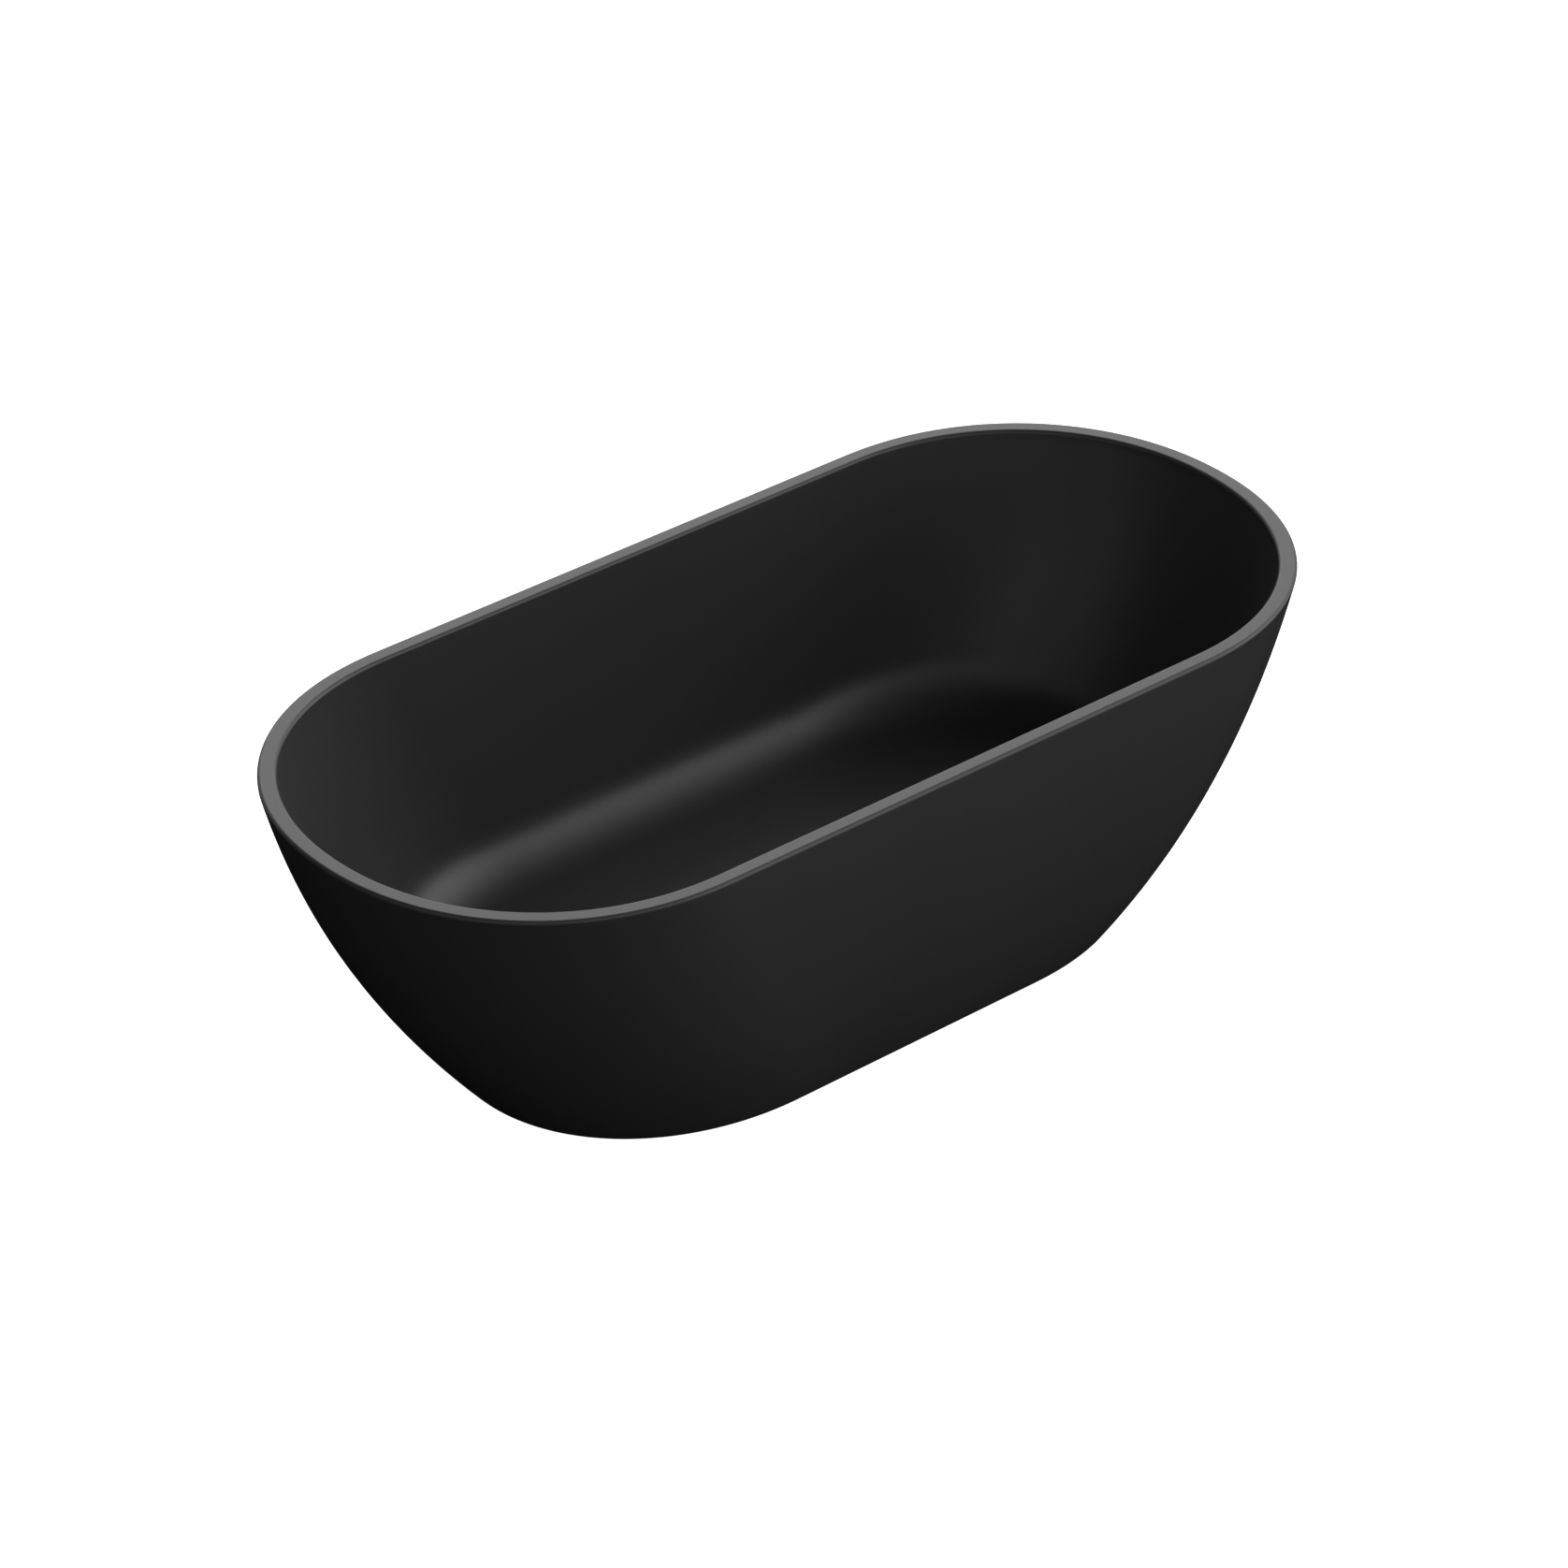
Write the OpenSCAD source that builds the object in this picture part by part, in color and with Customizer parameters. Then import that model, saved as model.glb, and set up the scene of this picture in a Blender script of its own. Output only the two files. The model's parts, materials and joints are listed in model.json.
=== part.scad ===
// Freestanding double-skin bathtub.
// Origin on the floor under the middle of the tub, X along its length, Y across it, Z up.
// The front is the long side at -Y and the left is the end at -X.

/* [Tub] */
// Length over the rim
length = 1700; // [1500:10:1900]
// Width over the rim
width = 800; // [720:10:900]
// Height of the rim above the floor
height = 520; // [480:5:600]
// Straight length of each long side at the rim
rim_straight = 894; // [700:2:960]
// Length of the footprint on the floor
base_length = 1156; // [1000:2:1280]
// Width of the footprint on the floor
base_width = 574; // [500:2:640]
// Straight length of each long side of the footprint
base_straight = 456; // [380:2:560]
// Fullness of the rounded ends, where 2 is a true ellipse
end_fullness = 2.09; // [1.9:0.01:2.4]
// Lean of the ends just under the rim, in degrees from upright
end_lean_top = 13.7; // [5:0.1:20]
// Lean of the ends at the floor
end_lean_base = 40.1; // [30:0.1:45]
// Lean of the long sides just under the rim
side_lean_top = 2.4; // [0:0.1:6]
// Lean of the long sides at the floor
side_lean_base = 27.6; // [20:0.1:32]

/* [Rim and skins] */
// Width of the rim from its outer edge to the inner wall
rim_width = 27.5; // [25:0.5:34]
// Radius of both edges of the rim
edge_radius = 5.5; // [4:0.1:6.5]
// Thickness of the rim plate
rim_thickness = 8; // [7.5:0.5:10]
// Thickness of the inner skin
basin_thickness = 7; // [6.6:0.2:8]
// Thickness of the outer skin
skirt_thickness = 6; // [4:0.5:7]
// Height of the glue line between the two skins
bond_height = 1; // [0.6:0.1:1.5]
// Gap between the glued lip of the outer skin and the inner skin
lip_clearance = 2; // [1:0.5:4]
// Width of the turned-in flange at the foot of the outer skin
foot_flange_width = 28; // [24:1:34]
// Thickness of the foot flange
foot_flange_thickness = 6; // [4:0.5:8]

/* [Basin floor] */
// Height of the bathing floor above the ground
floor_height = 120; // [118:1:140]
// Radius where the inner wall turns into the floor
floor_radius = 93; // [80:1:110]
// Fall of the floor towards the waste
floor_fall = 3; // [2:0.5:4]
// Radius of the level place round the waste
waste_land_radius = 48; // [44:1:60]

/* [Board and frame] */
// Thickness of the board under the floor
board_thickness = 18; // [15:1:20]
// Margin of the board inside the level floor
board_margin = 26; // [15:1:40]
// Radius of the hole in the board round the waste
board_hole_radius = 45; // [42:1:50]
// Side of the square rails
rail_size = 25; // [25:1:30]
// Wall of the rails and cross bars
tube_wall = 2; // [1.5:0.5:3]
// Distance of each rail from the middle of the tub
rail_offset = 112; // [95:1:120]
// Overhang of the rails past the cross bars
rail_overhang = 75; // [50:5:100]
// Width of the cross bars
bar_width = 30; // [28:1:34]
// Height of the cross bars
bar_height = 25; // [22:1:28]
// Overhang of the cross bars past the feet
bar_overhang = 30; // [28:1:34]
// Thickness of the skirt brackets
bracket_thickness = 3; // [2:0.5:4]

/* [Feet] */
// Distance of the feet from the ends of the footprint
foot_inset_x = 198; // [190:1:240]
// Distance of the feet from the sides of the footprint
foot_inset_y = 102; // [98:1:115]
// Radius of the foot pads
pad_radius = 27; // [24:1:29]
// Height of the foot pads
pad_height = 12; // [11:1:14]
// Thread radius of the studs
stud_radius = 6; // [5:1:6]
// Thread pitch of the studs
stud_pitch = 1.75; // [1.5:0.25:1.75]
// How far each foot screws out
foot_travel = 15; // [5:1:16]
// Height of the nuts welded under the cross bars
weld_nut_height = 9; // [8:1:10]
// Height of the lock nuts
lock_nut_height = 6; // [5:1:7]

/* [Waste] */
// Radius of the waste flange
flange_radius = 35; // [33:1:36]
// Thickness of the waste flange
flange_thickness = 2.5; // [2:0.5:3]
// Depth of the recess that holds the flange
flange_recess = 3; // [2:0.5:3]
// Outside radius of the threaded throat
throat_radius = 24; // [23:0.5:25]
// Wall of the threaded throat
throat_wall = 3.5; // [2.5:0.5:4]
// Radius of the push cap
cap_radius = 31; // [29:1:32]
// How far the cap rises when it is pushed
cap_travel = 9; // [6:1:9]
// Radius of the outlet thread
outlet_radius = 23.9; // [22:0.1:24.5]
// Length of the outlet thread
outlet_length = 20; // [16:1:22]

/* [Overflow] */
// Depth of the overflow slot below the rim
overflow_depth = 70; // [60:1:90]
// Width of the overflow slot
overflow_width = 60; // [50:1:70]
// Height of the overflow slot
overflow_height = 9; // [8:1:11]
// Gap between the flat duct and the outer skin
duct_clearance = 5; // [3:0.5:6]
// Width of the duct
duct_width = 84; // [78:1:90]
// Wall of the duct
duct_wall = 1.5; // [1:0.5:2]
// Outside radius of the overflow pipe
pipe_radius = 10; // [9:0.5:10]

/* [Quality] */
// Steps round each quarter of the outline
quarter_steps = 22; // [12:1:24]
// Steps up each wall
wall_steps = 10; // [6:1:11]

/* [Hidden] */
$fn = 96;
fit_gap = 0.05;
free_gap = 0.3;
half_length = length / 2;
lip_width = rim_width - basin_thickness - lip_clearance;
duct_thickness = rim_width - basin_thickness - skirt_thickness - duct_clearance;
throat_bore = throat_radius - throat_wall;
half_width = width / 2;
edge_height = height - edge_radius;
lip_height = height - rim_thickness;
skirt_height = lip_height - bond_height;
fillet_height = floor_height + floor_radius;
floor_under = floor_height - floor_fall - basin_thickness;
board_under = floor_under - board_thickness;
rail_under = board_under - rail_size;
bar_under = rail_under - bar_height;
weld_nut_under = bar_under - weld_nut_height;
lock_nut_under = weld_nut_under - lock_nut_height;
foot_x = base_length / 2 - foot_inset_x;
foot_y = base_width / 2 - foot_inset_y;
rail_half = foot_x + rail_overhang;
bar_half = foot_y + bar_overhang;
sides = [-1, 1];
feet = [for (sx = sides, sy = sides) [sx, sy]];

black = [0.05, 0.05, 0.055];
resin = [0.62, 0.6, 0.52];
steel = [0.62, 0.64, 0.66];
zinc = [0.72, 0.72, 0.7];
timber = [0.66, 0.52, 0.36];
rubber = [0.1, 0.1, 0.1];
plastic = [0.14, 0.14, 0.15];
pipe_grey = [0.8, 0.8, 0.78];
brass = [0.75, 0.6, 0.3];

// ---- the shape of the two skins ----

// Where the wall gives way to the rounded outer edge of the rim.
function wall_top(lean) = edge_height - edge_radius * sin(lean);

// Half size of the outer wall at height z, from its sizes and leans at the top and the floor.
function wall(z, half, base_half, lean_top, lean_base) =
  let (
    top = wall_top(lean_top),
    start = half - edge_radius * (1 - cos(lean_top)),
    u = (top - z) / top,
    total = start - base_half,
    m0 = tan(lean_top) * top,
    m1 = tan(lean_base) * top
  )
  z > top
    ? half - edge_radius + sqrt(max(0, edge_radius^2 - (z - edge_height)^2))
    : start - m0 * u - (3 * total - 2 * m0 - m1) * u^2 - (m0 + m1 - 2 * total) * u^3;

function end_wall(z) = wall(z, half_length, base_length / 2, end_lean_top, end_lean_base);
function side_wall(z) = wall(z, half_width, base_width / 2, side_lean_top, side_lean_base);
function straight(z) =
  (rim_straight + (base_straight - rim_straight) * (height - z) / height) / 2;

// Sizes across the wall at height z are this much larger than sizes square to it.
function end_slope(z) =
  let (t = min(z, wall_top(end_lean_top) - 1)) (end_wall(t + 1) - end_wall(t - 1)) / 2;
function side_slope(z) =
  let (t = min(z, wall_top(side_lean_top) - 1)) (side_wall(t + 1) - side_wall(t - 1)) / 2;
function end_at(z, inset) = end_wall(z) - inset * sqrt(1 + end_slope(z)^2);
function side_at(z, inset) = side_wall(z) - inset * sqrt(1 + side_slope(z)^2);

// Height where the inner wall meets the floor's fillet, found by repeated substitution.
function end_meet(z, n = 12) = n == 0 ? z
  : let (s = (end_at(z + 1, rim_width) - end_at(z - 1, rim_width)) / 2)
    end_meet(fillet_height - floor_radius * s / sqrt(1 + s^2), n - 1);
function side_meet(z, n = 12) = n == 0 ? z
  : let (s = (side_at(z + 1, rim_width) - side_at(z - 1, rim_width)) / 2)
    side_meet(fillet_height - floor_radius * s / sqrt(1 + s^2), n - 1);
end_meet_z = end_meet(fillet_height);
side_meet_z = side_meet(fillet_height);
function fillet_reach(z, r) = sqrt(max(0, r^2 - (fillet_height - z)^2));
floor_half_length = end_at(end_meet_z, rim_width) - fillet_reach(end_meet_z, floor_radius);
floor_half_width = side_at(side_meet_z, rim_width) - fillet_reach(side_meet_z, floor_radius);

// Half sizes of the basin, grow outside its bathing face: fillet below, wall above.
function basin_end(z, grow) =
  let (r = floor_radius + grow)
  z < fillet_height - (fillet_height - end_meet_z) * r / floor_radius
    ? floor_half_length + fillet_reach(z, r) : end_at(z, rim_width - grow);
function basin_side(z, grow) =
  let (r = floor_radius + grow)
  z < fillet_height - (fillet_height - side_meet_z) * r / floor_radius
    ? floor_half_width + fillet_reach(z, r) : side_at(z, rim_width - grow);

// One closed outline: half sizes a and b, straight half length s, at height z.
function corner(a, b, s, t) = [
  s + (a - s) * pow(cos(t), 2 / end_fullness), b * pow(sin(t), 2 / end_fullness)
];
function quarter(a, b, s) = [for (i = [0:quarter_steps]) corner(a, b, s, 90 * i / quarter_steps)];
function outline(a, b, s) =
  let (q = quarter(a, b, s), n = quarter_steps)
  concat(
    q,
    [for (i = [n:-1:0]) [-q[i][0], q[i][1]]],
    [for (i = [1:n]) [-q[i][0], -q[i][1]]],
    [for (i = [n:-1:1]) [q[i][0], -q[i][1]]]
  );
function ring(a, b, s, z) = [for (p = outline(a, b, s)) [p[0], p[1], z]];
ring_size = 4 * quarter_steps + 2;

function skin_ring(z, inset) = ring(end_at(z, inset), side_at(z, inset), straight(z), z);
function basin_ring(z, grow) = ring(basin_end(z, grow), basin_side(z, grow), straight(z), z);

// Half width of the outer skin at a place along the tub, at height z and inset from outside.
function side_reach(x, z, inset) =
  let (s = straight(z), a = end_at(z, inset), b = side_at(z, inset), over = max(0, abs(x) - s))
  b * pow(1 - pow(over / (a - s), end_fullness), 1 / end_fullness);

// Joins a list of rings into a solid, closed on itself or capped at both ends.
module skin(rings, capped) {
  n = ring_size;
  count = len(rings);
  last = capped ? count - 2 : count - 1;
  walls = [
    for (k = [0:last], i = [0:n - 1])
      let (j = (i + 1) % n, a = k * n, b = ((k + 1) % count) * n)
      for (face = [[a + i, b + i, b + j], [a + i, b + j, a + j]]) face
  ];
  caps = capped
    ? [[for (i = [0:n - 1]) i], [for (i = [n - 1:-1:0]) (count - 1) * n + i]] : [];
  polyhedron(points = [for (r = rings) each r], faces = concat(walls, caps));
}

function steps(from, to, count) = [for (i = [0:count]) from + (to - from) * i / count];

// Rows of the rounded edges of the rim, as angles up from level.
edge_angles = [0, 22, 45, 68, 90];
inner_edge_end = end_at(edge_height, rim_width) + edge_radius;
inner_edge_side = side_at(edge_height, rim_width) + edge_radius;
fillet_angles = [0, 10, 21, 32, 44, 56, 68];

module inner_basin() {
  hidden_top = lip_height;
  fillet_end = fillet_height - floor_radius * cos(68);
  hidden_radius = floor_radius + basin_thickness;
  hidden_rows = concat(
    [for (a = fillet_angles) fillet_height - hidden_radius * cos(a)],
    [for (z = steps(fillet_end + 12, hidden_top, wall_steps)) z]
  );
  bathing_rows = concat(
    [for (z = steps(edge_height, fillet_end + 12, wall_steps)) z],
    [for (i = [len(fillet_angles) - 1:-1:0]) fillet_height - floor_radius * cos(fillet_angles[i])]
  );
  land = waste_land_radius;
  rings = concat(
    [ring(floor_half_length - 8, floor_half_width - 8, straight(floor_under), floor_under)],
    [for (z = hidden_rows) basin_ring(z, basin_thickness)],
    [skin_ring(lip_height, 0), skin_ring(wall_top(end_lean_top), 0)],
    [for (a = edge_angles) let (z = edge_height + edge_radius * sin(a)) skin_ring(z, 0)],
    [for (i = [len(edge_angles) - 1:-1:1])
      let (z = edge_height + edge_radius * sin(edge_angles[i]), d = edge_radius * cos(edge_angles[i]))
      ring(inner_edge_end - d, inner_edge_side - d, straight(z), z)],
    [for (z = bathing_rows) basin_ring(z, 0)],
    [ring(land + 1, land, 1, floor_height - floor_fall)]
  );
  color(black) difference() {
    skin(rings, true);
    translate([0, 0, floor_height - floor_fall - flange_recess])
      cylinder(r = flange_radius + 1, h = floor_fall + flange_recess);
    translate([0, 0, floor_under - 1]) cylinder(r = throat_radius + 0.5, h = basin_thickness + 2);
    overflow_place() cube([overflow_width, 4 * basin_thickness, overflow_height], center = true);
  }
}

module outer_skirt() {
  flange_inset = skirt_thickness + foot_flange_width;
  inner_rows = steps(skirt_height - skirt_thickness, foot_flange_thickness, wall_steps + 2);
  rings = concat(
    [for (z = steps(0, skirt_height, wall_steps + 2)) skin_ring(z, 0)],
    [skin_ring(skirt_height, lip_width), skin_ring(skirt_height - skirt_thickness, lip_width)],
    [for (z = inner_rows) skin_ring(z, skirt_thickness)],
    [skin_ring(foot_flange_thickness, flange_inset), foot_edge(flange_inset)]
  );
  color(black) difference() {
    skin(rings, false);
    for (f = feet) bracket_place(f) screw_hole();
  }
}
// The lower edge of the foot flange stands straight under its upper edge.
function foot_edge(inset) = [for (p = skin_ring(foot_flange_thickness, inset)) [p[0], p[1], 0]];

module rim_bond() {
  color(rubber) skin([
    skin_ring(skirt_height, 0), skin_ring(lip_height, 0),
    skin_ring(lip_height, lip_width), skin_ring(skirt_height, lip_width)
  ], false);
}

// ---- the board and the frame ----

board_half_width = floor_half_width - board_margin;
board_half_straight = floor_half_length - board_margin - board_half_width;

module base_board() {
  color(timber) translate([0, 0, board_under]) difference() {
    linear_extrude(board_thickness) {
      square([2 * board_half_straight, 2 * board_half_width], center = true);
      for (s = sides) translate([s * board_half_straight, 0]) circle(r = board_half_width);
    }
    translate([0, 0, -1]) cylinder(r = board_hole_radius, h = board_thickness + 2);
    for (p = screw_places) translate([p[0], p[1], -1])
      cylinder(r = screw_radius + fit_gap, h = screw_depth + 1 + fit_gap);
  }
}

screw_radius = 2.5;
screw_depth = 13;
screw_head_radius = 5;
screw_head_height = 3;
screw_end_margin = 30;
screw_middle = 160;
screw_xs = [-rail_half + screw_end_margin, -screw_middle, screw_middle, rail_half - screw_end_margin];
screw_places = [for (sy = sides, x = screw_xs) [x, sy * rail_offset]];
rail_bolt_radius = 4;
bolt_places = [for (f = feet) [f[0] * foot_x, f[1] * rail_offset]];

module tube(size, wall) {
  difference() {
    cube(size, center = true);
    cube([size[0] + 2, size[1] - 2 * wall, size[2] - 2 * wall], center = true);
  }
}

module rail(side) {
  color(steel) difference() {
    translate([0, side * rail_offset, rail_under + rail_size / 2])
      tube([2 * rail_half, rail_size, rail_size], tube_wall);
    for (p = screw_places) if (p[1] * side > 0) {
      translate([p[0], p[1], rail_under - 1]) cylinder(r = screw_head_radius + 1, h = tube_wall + 2);
      translate([p[0], p[1], rail_under]) cylinder(r = screw_radius + free_gap, h = rail_size + 1);
    }
    for (p = bolt_places) if (p[1] * side > 0)
      translate([p[0], p[1], rail_under - 1]) cylinder(r = rail_bolt_radius + free_gap, h = tube_wall + 2);
  }
}
module rail_front() { rail(-1); }
module rail_back() { rail(1); }

module cross_bar(side) {
  color(steel) difference() {
    translate([side * foot_x, 0, bar_under + bar_height / 2])
      rotate([0, 0, 90]) tube([2 * bar_half, bar_width, bar_height], tube_wall);
    for (p = bolt_places) if (p[0] * side > 0)
      translate([p[0], p[1], bar_under - 1]) cylinder(r = rail_bolt_radius + free_gap, h = bar_height + 2);
    for (s = sides) {
      translate([side * foot_x, s * foot_y, bar_under - 1])
        cylinder(r = stud_radius + 0.5, h = bar_height + 2);
      translate([side * foot_x, s * bracket_bolt_y, bracket_bolt_z]) rotate([0, 90, 0])
        cylinder(r = bracket_bolt_radius + free_gap, h = bar_width + 2, center = true);
    }
  }
}
module cross_bar_left() { cross_bar(-1); }
module cross_bar_right() { cross_bar(1); }

// A plastic plug closing the end of a tube whose mouth is at the origin, facing +X.
module tube_plug(w, h) {
  cap = 2.5;
  depth = 10;
  rib = 1.5;
  translate([cap / 2, 0, 0]) cube([cap, w, h], center = true);
  difference() {
    translate([-depth / 2, 0, 0])
      cube([depth, w - 2 * tube_wall - 2 * fit_gap, h - 2 * tube_wall - 2 * fit_gap], center = true);
    translate([-depth / 2 - 1, 0, 0])
      cube([depth, w - 2 * tube_wall - 2 * rib, h - 2 * tube_wall - 2 * rib], center = true);
  }
}

module rail_plugs() {
  color(plastic) for (f = feet)
    translate([f[0] * rail_half, f[1] * rail_offset, rail_under + rail_size / 2])
      rotate([0, 0, f[0] > 0 ? 0 : 180]) tube_plug(rail_size, rail_size);
}

module bar_plugs() {
  color(plastic) for (f = feet)
    translate([f[0] * foot_x, f[1] * bar_half, bar_under + bar_height / 2])
      rotate([0, 0, 90 * f[1]]) tube_plug(bar_width, bar_height);
}

// Hexagon of a given width across flats, with both ends bevelled.
module hexagon(flats, h) {
  r = flats / sqrt(3);
  bevel = 0.08 * flats;
  intersection() {
    cylinder(r = r, h = h, $fn = 6);
    cylinder(r1 = r - bevel / 2, r2 = r - bevel / 2 + h, h = h);
    cylinder(r1 = r - bevel / 2 + h, r2 = r - bevel / 2, h = h);
  }
}
module hex_nut(flats, h, bore) {
  difference() {
    hexagon(flats, h);
    translate([0, 0, -1]) cylinder(r = bore, h = h + 2);
  }
}
// A hexagon bolt standing on its head's top, which is at the origin.
module hex_bolt(flats, head, r, shank) {
  hexagon(flats, head);
  translate([0, 0, head - 0.5]) cylinder(r = r, h = shank + 0.5);
}

rail_bolt_flats = 13;
rail_bolt_head = 5;
rail_nut_height = 6.5;
module rail_bolts() {
  shank = bar_height + tube_wall + rail_nut_height + 3;
  color(zinc) for (p = bolt_places) translate([p[0], p[1], bar_under - rail_bolt_head])
    hex_bolt(rail_bolt_flats, rail_bolt_head, rail_bolt_radius, shank);
}
module rail_nuts() {
  color(zinc) for (p = bolt_places) translate([p[0], p[1], rail_under + tube_wall])
    hex_nut(rail_bolt_flats, rail_nut_height, rail_bolt_radius + fit_gap);
}

module board_screws() {
  color(zinc) for (p = screw_places)
    translate([p[0], p[1], board_under - tube_wall - screw_head_height]) rotate_extrude()
      polygon([
        [0, 0], [screw_head_radius - 1, 0], [screw_head_radius, 1],
        [screw_head_radius, screw_head_height], [screw_radius, screw_head_height],
        [screw_radius, screw_head_height + tube_wall + screw_depth - 4],
        [0, screw_head_height + tube_wall + screw_depth]
      ]);
}

// ---- brackets between the cross bars and the foot of the outer skin ----

bracket_bolt_radius = 3;
bracket_bolt_y = bar_half - 16;
bracket_bolt_z = bar_under + bar_height / 2;
bracket_x = foot_x - bar_width / 2;
tab_width = 20;
tab_middle_x = bracket_x - tab_width / 2;
tab_y = side_reach(bracket_x, foot_flange_thickness, skirt_thickness + foot_flange_width / 2);
tab_half = 8;
flange_screw_radius = 2.5;

module bracket_place(f) {
  translate([f[0] * tab_middle_x, f[1] * tab_y, foot_flange_thickness]) children();
}
module screw_hole() {
  translate([0, 0, -foot_flange_thickness - 1])
    cylinder(r = flange_screw_radius + fit_gap, h = foot_flange_thickness + bracket_thickness + 2);
}

module bracket(sx, sy) {
  low = foot_flange_thickness;
  top = bar_under + bar_height - 2;
  inner_y = bar_half - 23;
  pad_edge = foot_y + pad_radius + 3;
  color(zinc) difference() {
    union() {
      scale([1, sy, 1]) translate([sx * (bracket_x - bracket_thickness / 2), 0, 0])
        rotate([90, 0, 90]) linear_extrude(bracket_thickness, center = true) polygon([
          [tab_y + tab_half, low], [tab_y + tab_half, low + 14], [bar_half + 4, top],
          [inner_y, top], [inner_y, bar_under + 2], [pad_edge, low + 20], [pad_edge, low]
        ]);
      translate([sx * tab_middle_x, sy * (tab_y + tab_half + pad_edge) / 2, low + bracket_thickness / 2])
        cube([tab_width, tab_y + tab_half - pad_edge, bracket_thickness], center = true);
    }
    translate([sx * bracket_x, sy * bracket_bolt_y, bracket_bolt_z]) rotate([0, 90, 0])
      cylinder(r = bracket_bolt_radius + free_gap, h = 4 * bracket_thickness, center = true);
    bracket_place([sx, sy]) screw_hole();
  }
}
module bracket_left_front() { bracket(-1, -1); }
module bracket_left_back() { bracket(-1, 1); }
module bracket_right_front() { bracket(1, -1); }
module bracket_right_back() { bracket(1, 1); }

bracket_bolt_flats = 10;
bracket_bolt_head = 4;
bracket_nut_height = 5;
module bracket_bolts() {
  start = bracket_x - bracket_thickness - bracket_bolt_head;
  shank = bracket_thickness + bar_width + bracket_nut_height + 2;
  color(zinc) for (f = feet) translate([f[0] * start, f[1] * bracket_bolt_y, bracket_bolt_z])
    rotate([0, 90 * f[0], 0])
      hex_bolt(bracket_bolt_flats, bracket_bolt_head, bracket_bolt_radius, shank);
}
module bracket_nuts() {
  color(zinc) for (f = feet)
    translate([f[0] * (foot_x + bar_width / 2), f[1] * bracket_bolt_y, bracket_bolt_z])
      rotate([0, 90 * f[0], 0])
        hex_nut(bracket_bolt_flats, bracket_nut_height, bracket_bolt_radius + fit_gap);
}
module bracket_screws() {
  head = 3;
  color(zinc) for (f = feet) bracket_place(f) translate([0, 0, bracket_thickness]) {
    cylinder(r = 4.5, h = head);
    translate([0, 0, -bracket_thickness - foot_flange_thickness + 0.5])
      cylinder(r = flange_screw_radius, h = bracket_thickness + foot_flange_thickness);
  }
}

// ---- feet ----

stud_flats = 2 * stud_radius + 5;
stud_hex_height = 7;
stud_collar_radius = stud_radius + 4;
stud_collar_low = 5;
stud_collar_height = 4;
stud_top = bar_under + bar_height + foot_travel + 2;
nut_flats = 2 * stud_radius + 7;

module weld_nuts() {
  color(steel) for (f = feet) translate([f[0] * foot_x, f[1] * foot_y, weld_nut_under])
    hex_nut(nut_flats, weld_nut_height, stud_radius + fit_gap);
}
module lock_nuts() {
  color(zinc) for (f = feet) translate([f[0] * foot_x, f[1] * foot_y, lock_nut_under])
    hex_nut(nut_flats, lock_nut_height, stud_radius + fit_gap);
}

module stud(sx, sy) {
  bevel = 1;
  low = stud_collar_low + free_gap;
  color(zinc) translate([sx * foot_x, sy * foot_y, 0]) {
    rotate_extrude() polygon([
      [0, low], [stud_collar_radius - bevel, low], [stud_collar_radius, low + bevel],
      [stud_collar_radius, low + stud_collar_height], [stud_radius, low + stud_collar_height],
      [stud_radius, stud_top - bevel], [stud_radius - bevel, stud_top], [0, stud_top]
    ]);
    translate([0, 0, pad_height + 0.5]) hexagon(stud_flats, stud_hex_height);
  }
}
module stud_left_front() { stud(-1, -1); }
module stud_left_back() { stud(-1, 1); }
module stud_right_front() { stud(1, -1); }
module stud_right_back() { stud(1, 1); }

module pad(sx, sy) {
  seat = stud_collar_radius + free_gap;
  neck = stud_radius + free_gap;
  roof = stud_collar_low + stud_collar_height + 2 * free_gap;
  r = pad_radius;
  color(plastic) translate([sx * foot_x, sy * foot_y, 0]) rotate_extrude() polygon([
    [0, 0], [r - 1, 0], [r, 1], [r, 4], [r - 2, 5.5], [seat + 5, pad_height - 1],
    [seat + 4, pad_height], [neck, pad_height], [neck, roof], [seat, roof],
    [seat, stud_collar_low], [0, stud_collar_low]
  ]);
}
module pad_left_front() { pad(-1, -1); }
module pad_left_back() { pad(-1, 1); }
module pad_right_front() { pad(1, -1); }
module pad_right_back() { pad(1, 1); }

// ---- waste ----

seal_top_thickness = 1;
flange_low = floor_height - floor_fall - flange_recess + seal_top_thickness;
flange_top = flange_low + flange_thickness;
throat_low = floor_under - 22;
spider_low = floor_under - 14;
spider_height = 8;
seal_bottom_thickness = 4;
body_top = floor_under - seal_bottom_thickness;
collar_low = throat_low - 2;
body_radius = throat_radius + 12;
body_wall = 3;
outlet_low = 20;
body_low = outlet_low + outlet_length;
pipe_height = rail_under - pipe_radius - 4.5;
cartridge_radius = 7;
cartridge_low = spider_low - 20;
cartridge_top = spider_low + spider_height + 4;
cartridge_wall = 1.4;
stem_radius = 4;
stem_collar_height = 2;
seal_thickness = 2;
cap_low = flange_top + fit_gap + seal_thickness;
cap_edge = 3;
cap_dome = 2;
stem_collar_top = cartridge_top - 2 - cap_travel - 1;

module waste_seal_top() {
  color(rubber) translate([0, 0, flange_low - seal_top_thickness])
    washer(throat_radius + 1, flange_radius - 1, seal_top_thickness);
}
module waste_seal_bottom() {
  color(rubber) translate([0, 0, body_top])
    washer(throat_radius + 1, body_radius, seal_bottom_thickness);
}
module washer(bore, r, h) {
  rotate_extrude() polygon([[bore, 0], [r, 0], [r, h], [bore, h]]);
}

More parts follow.
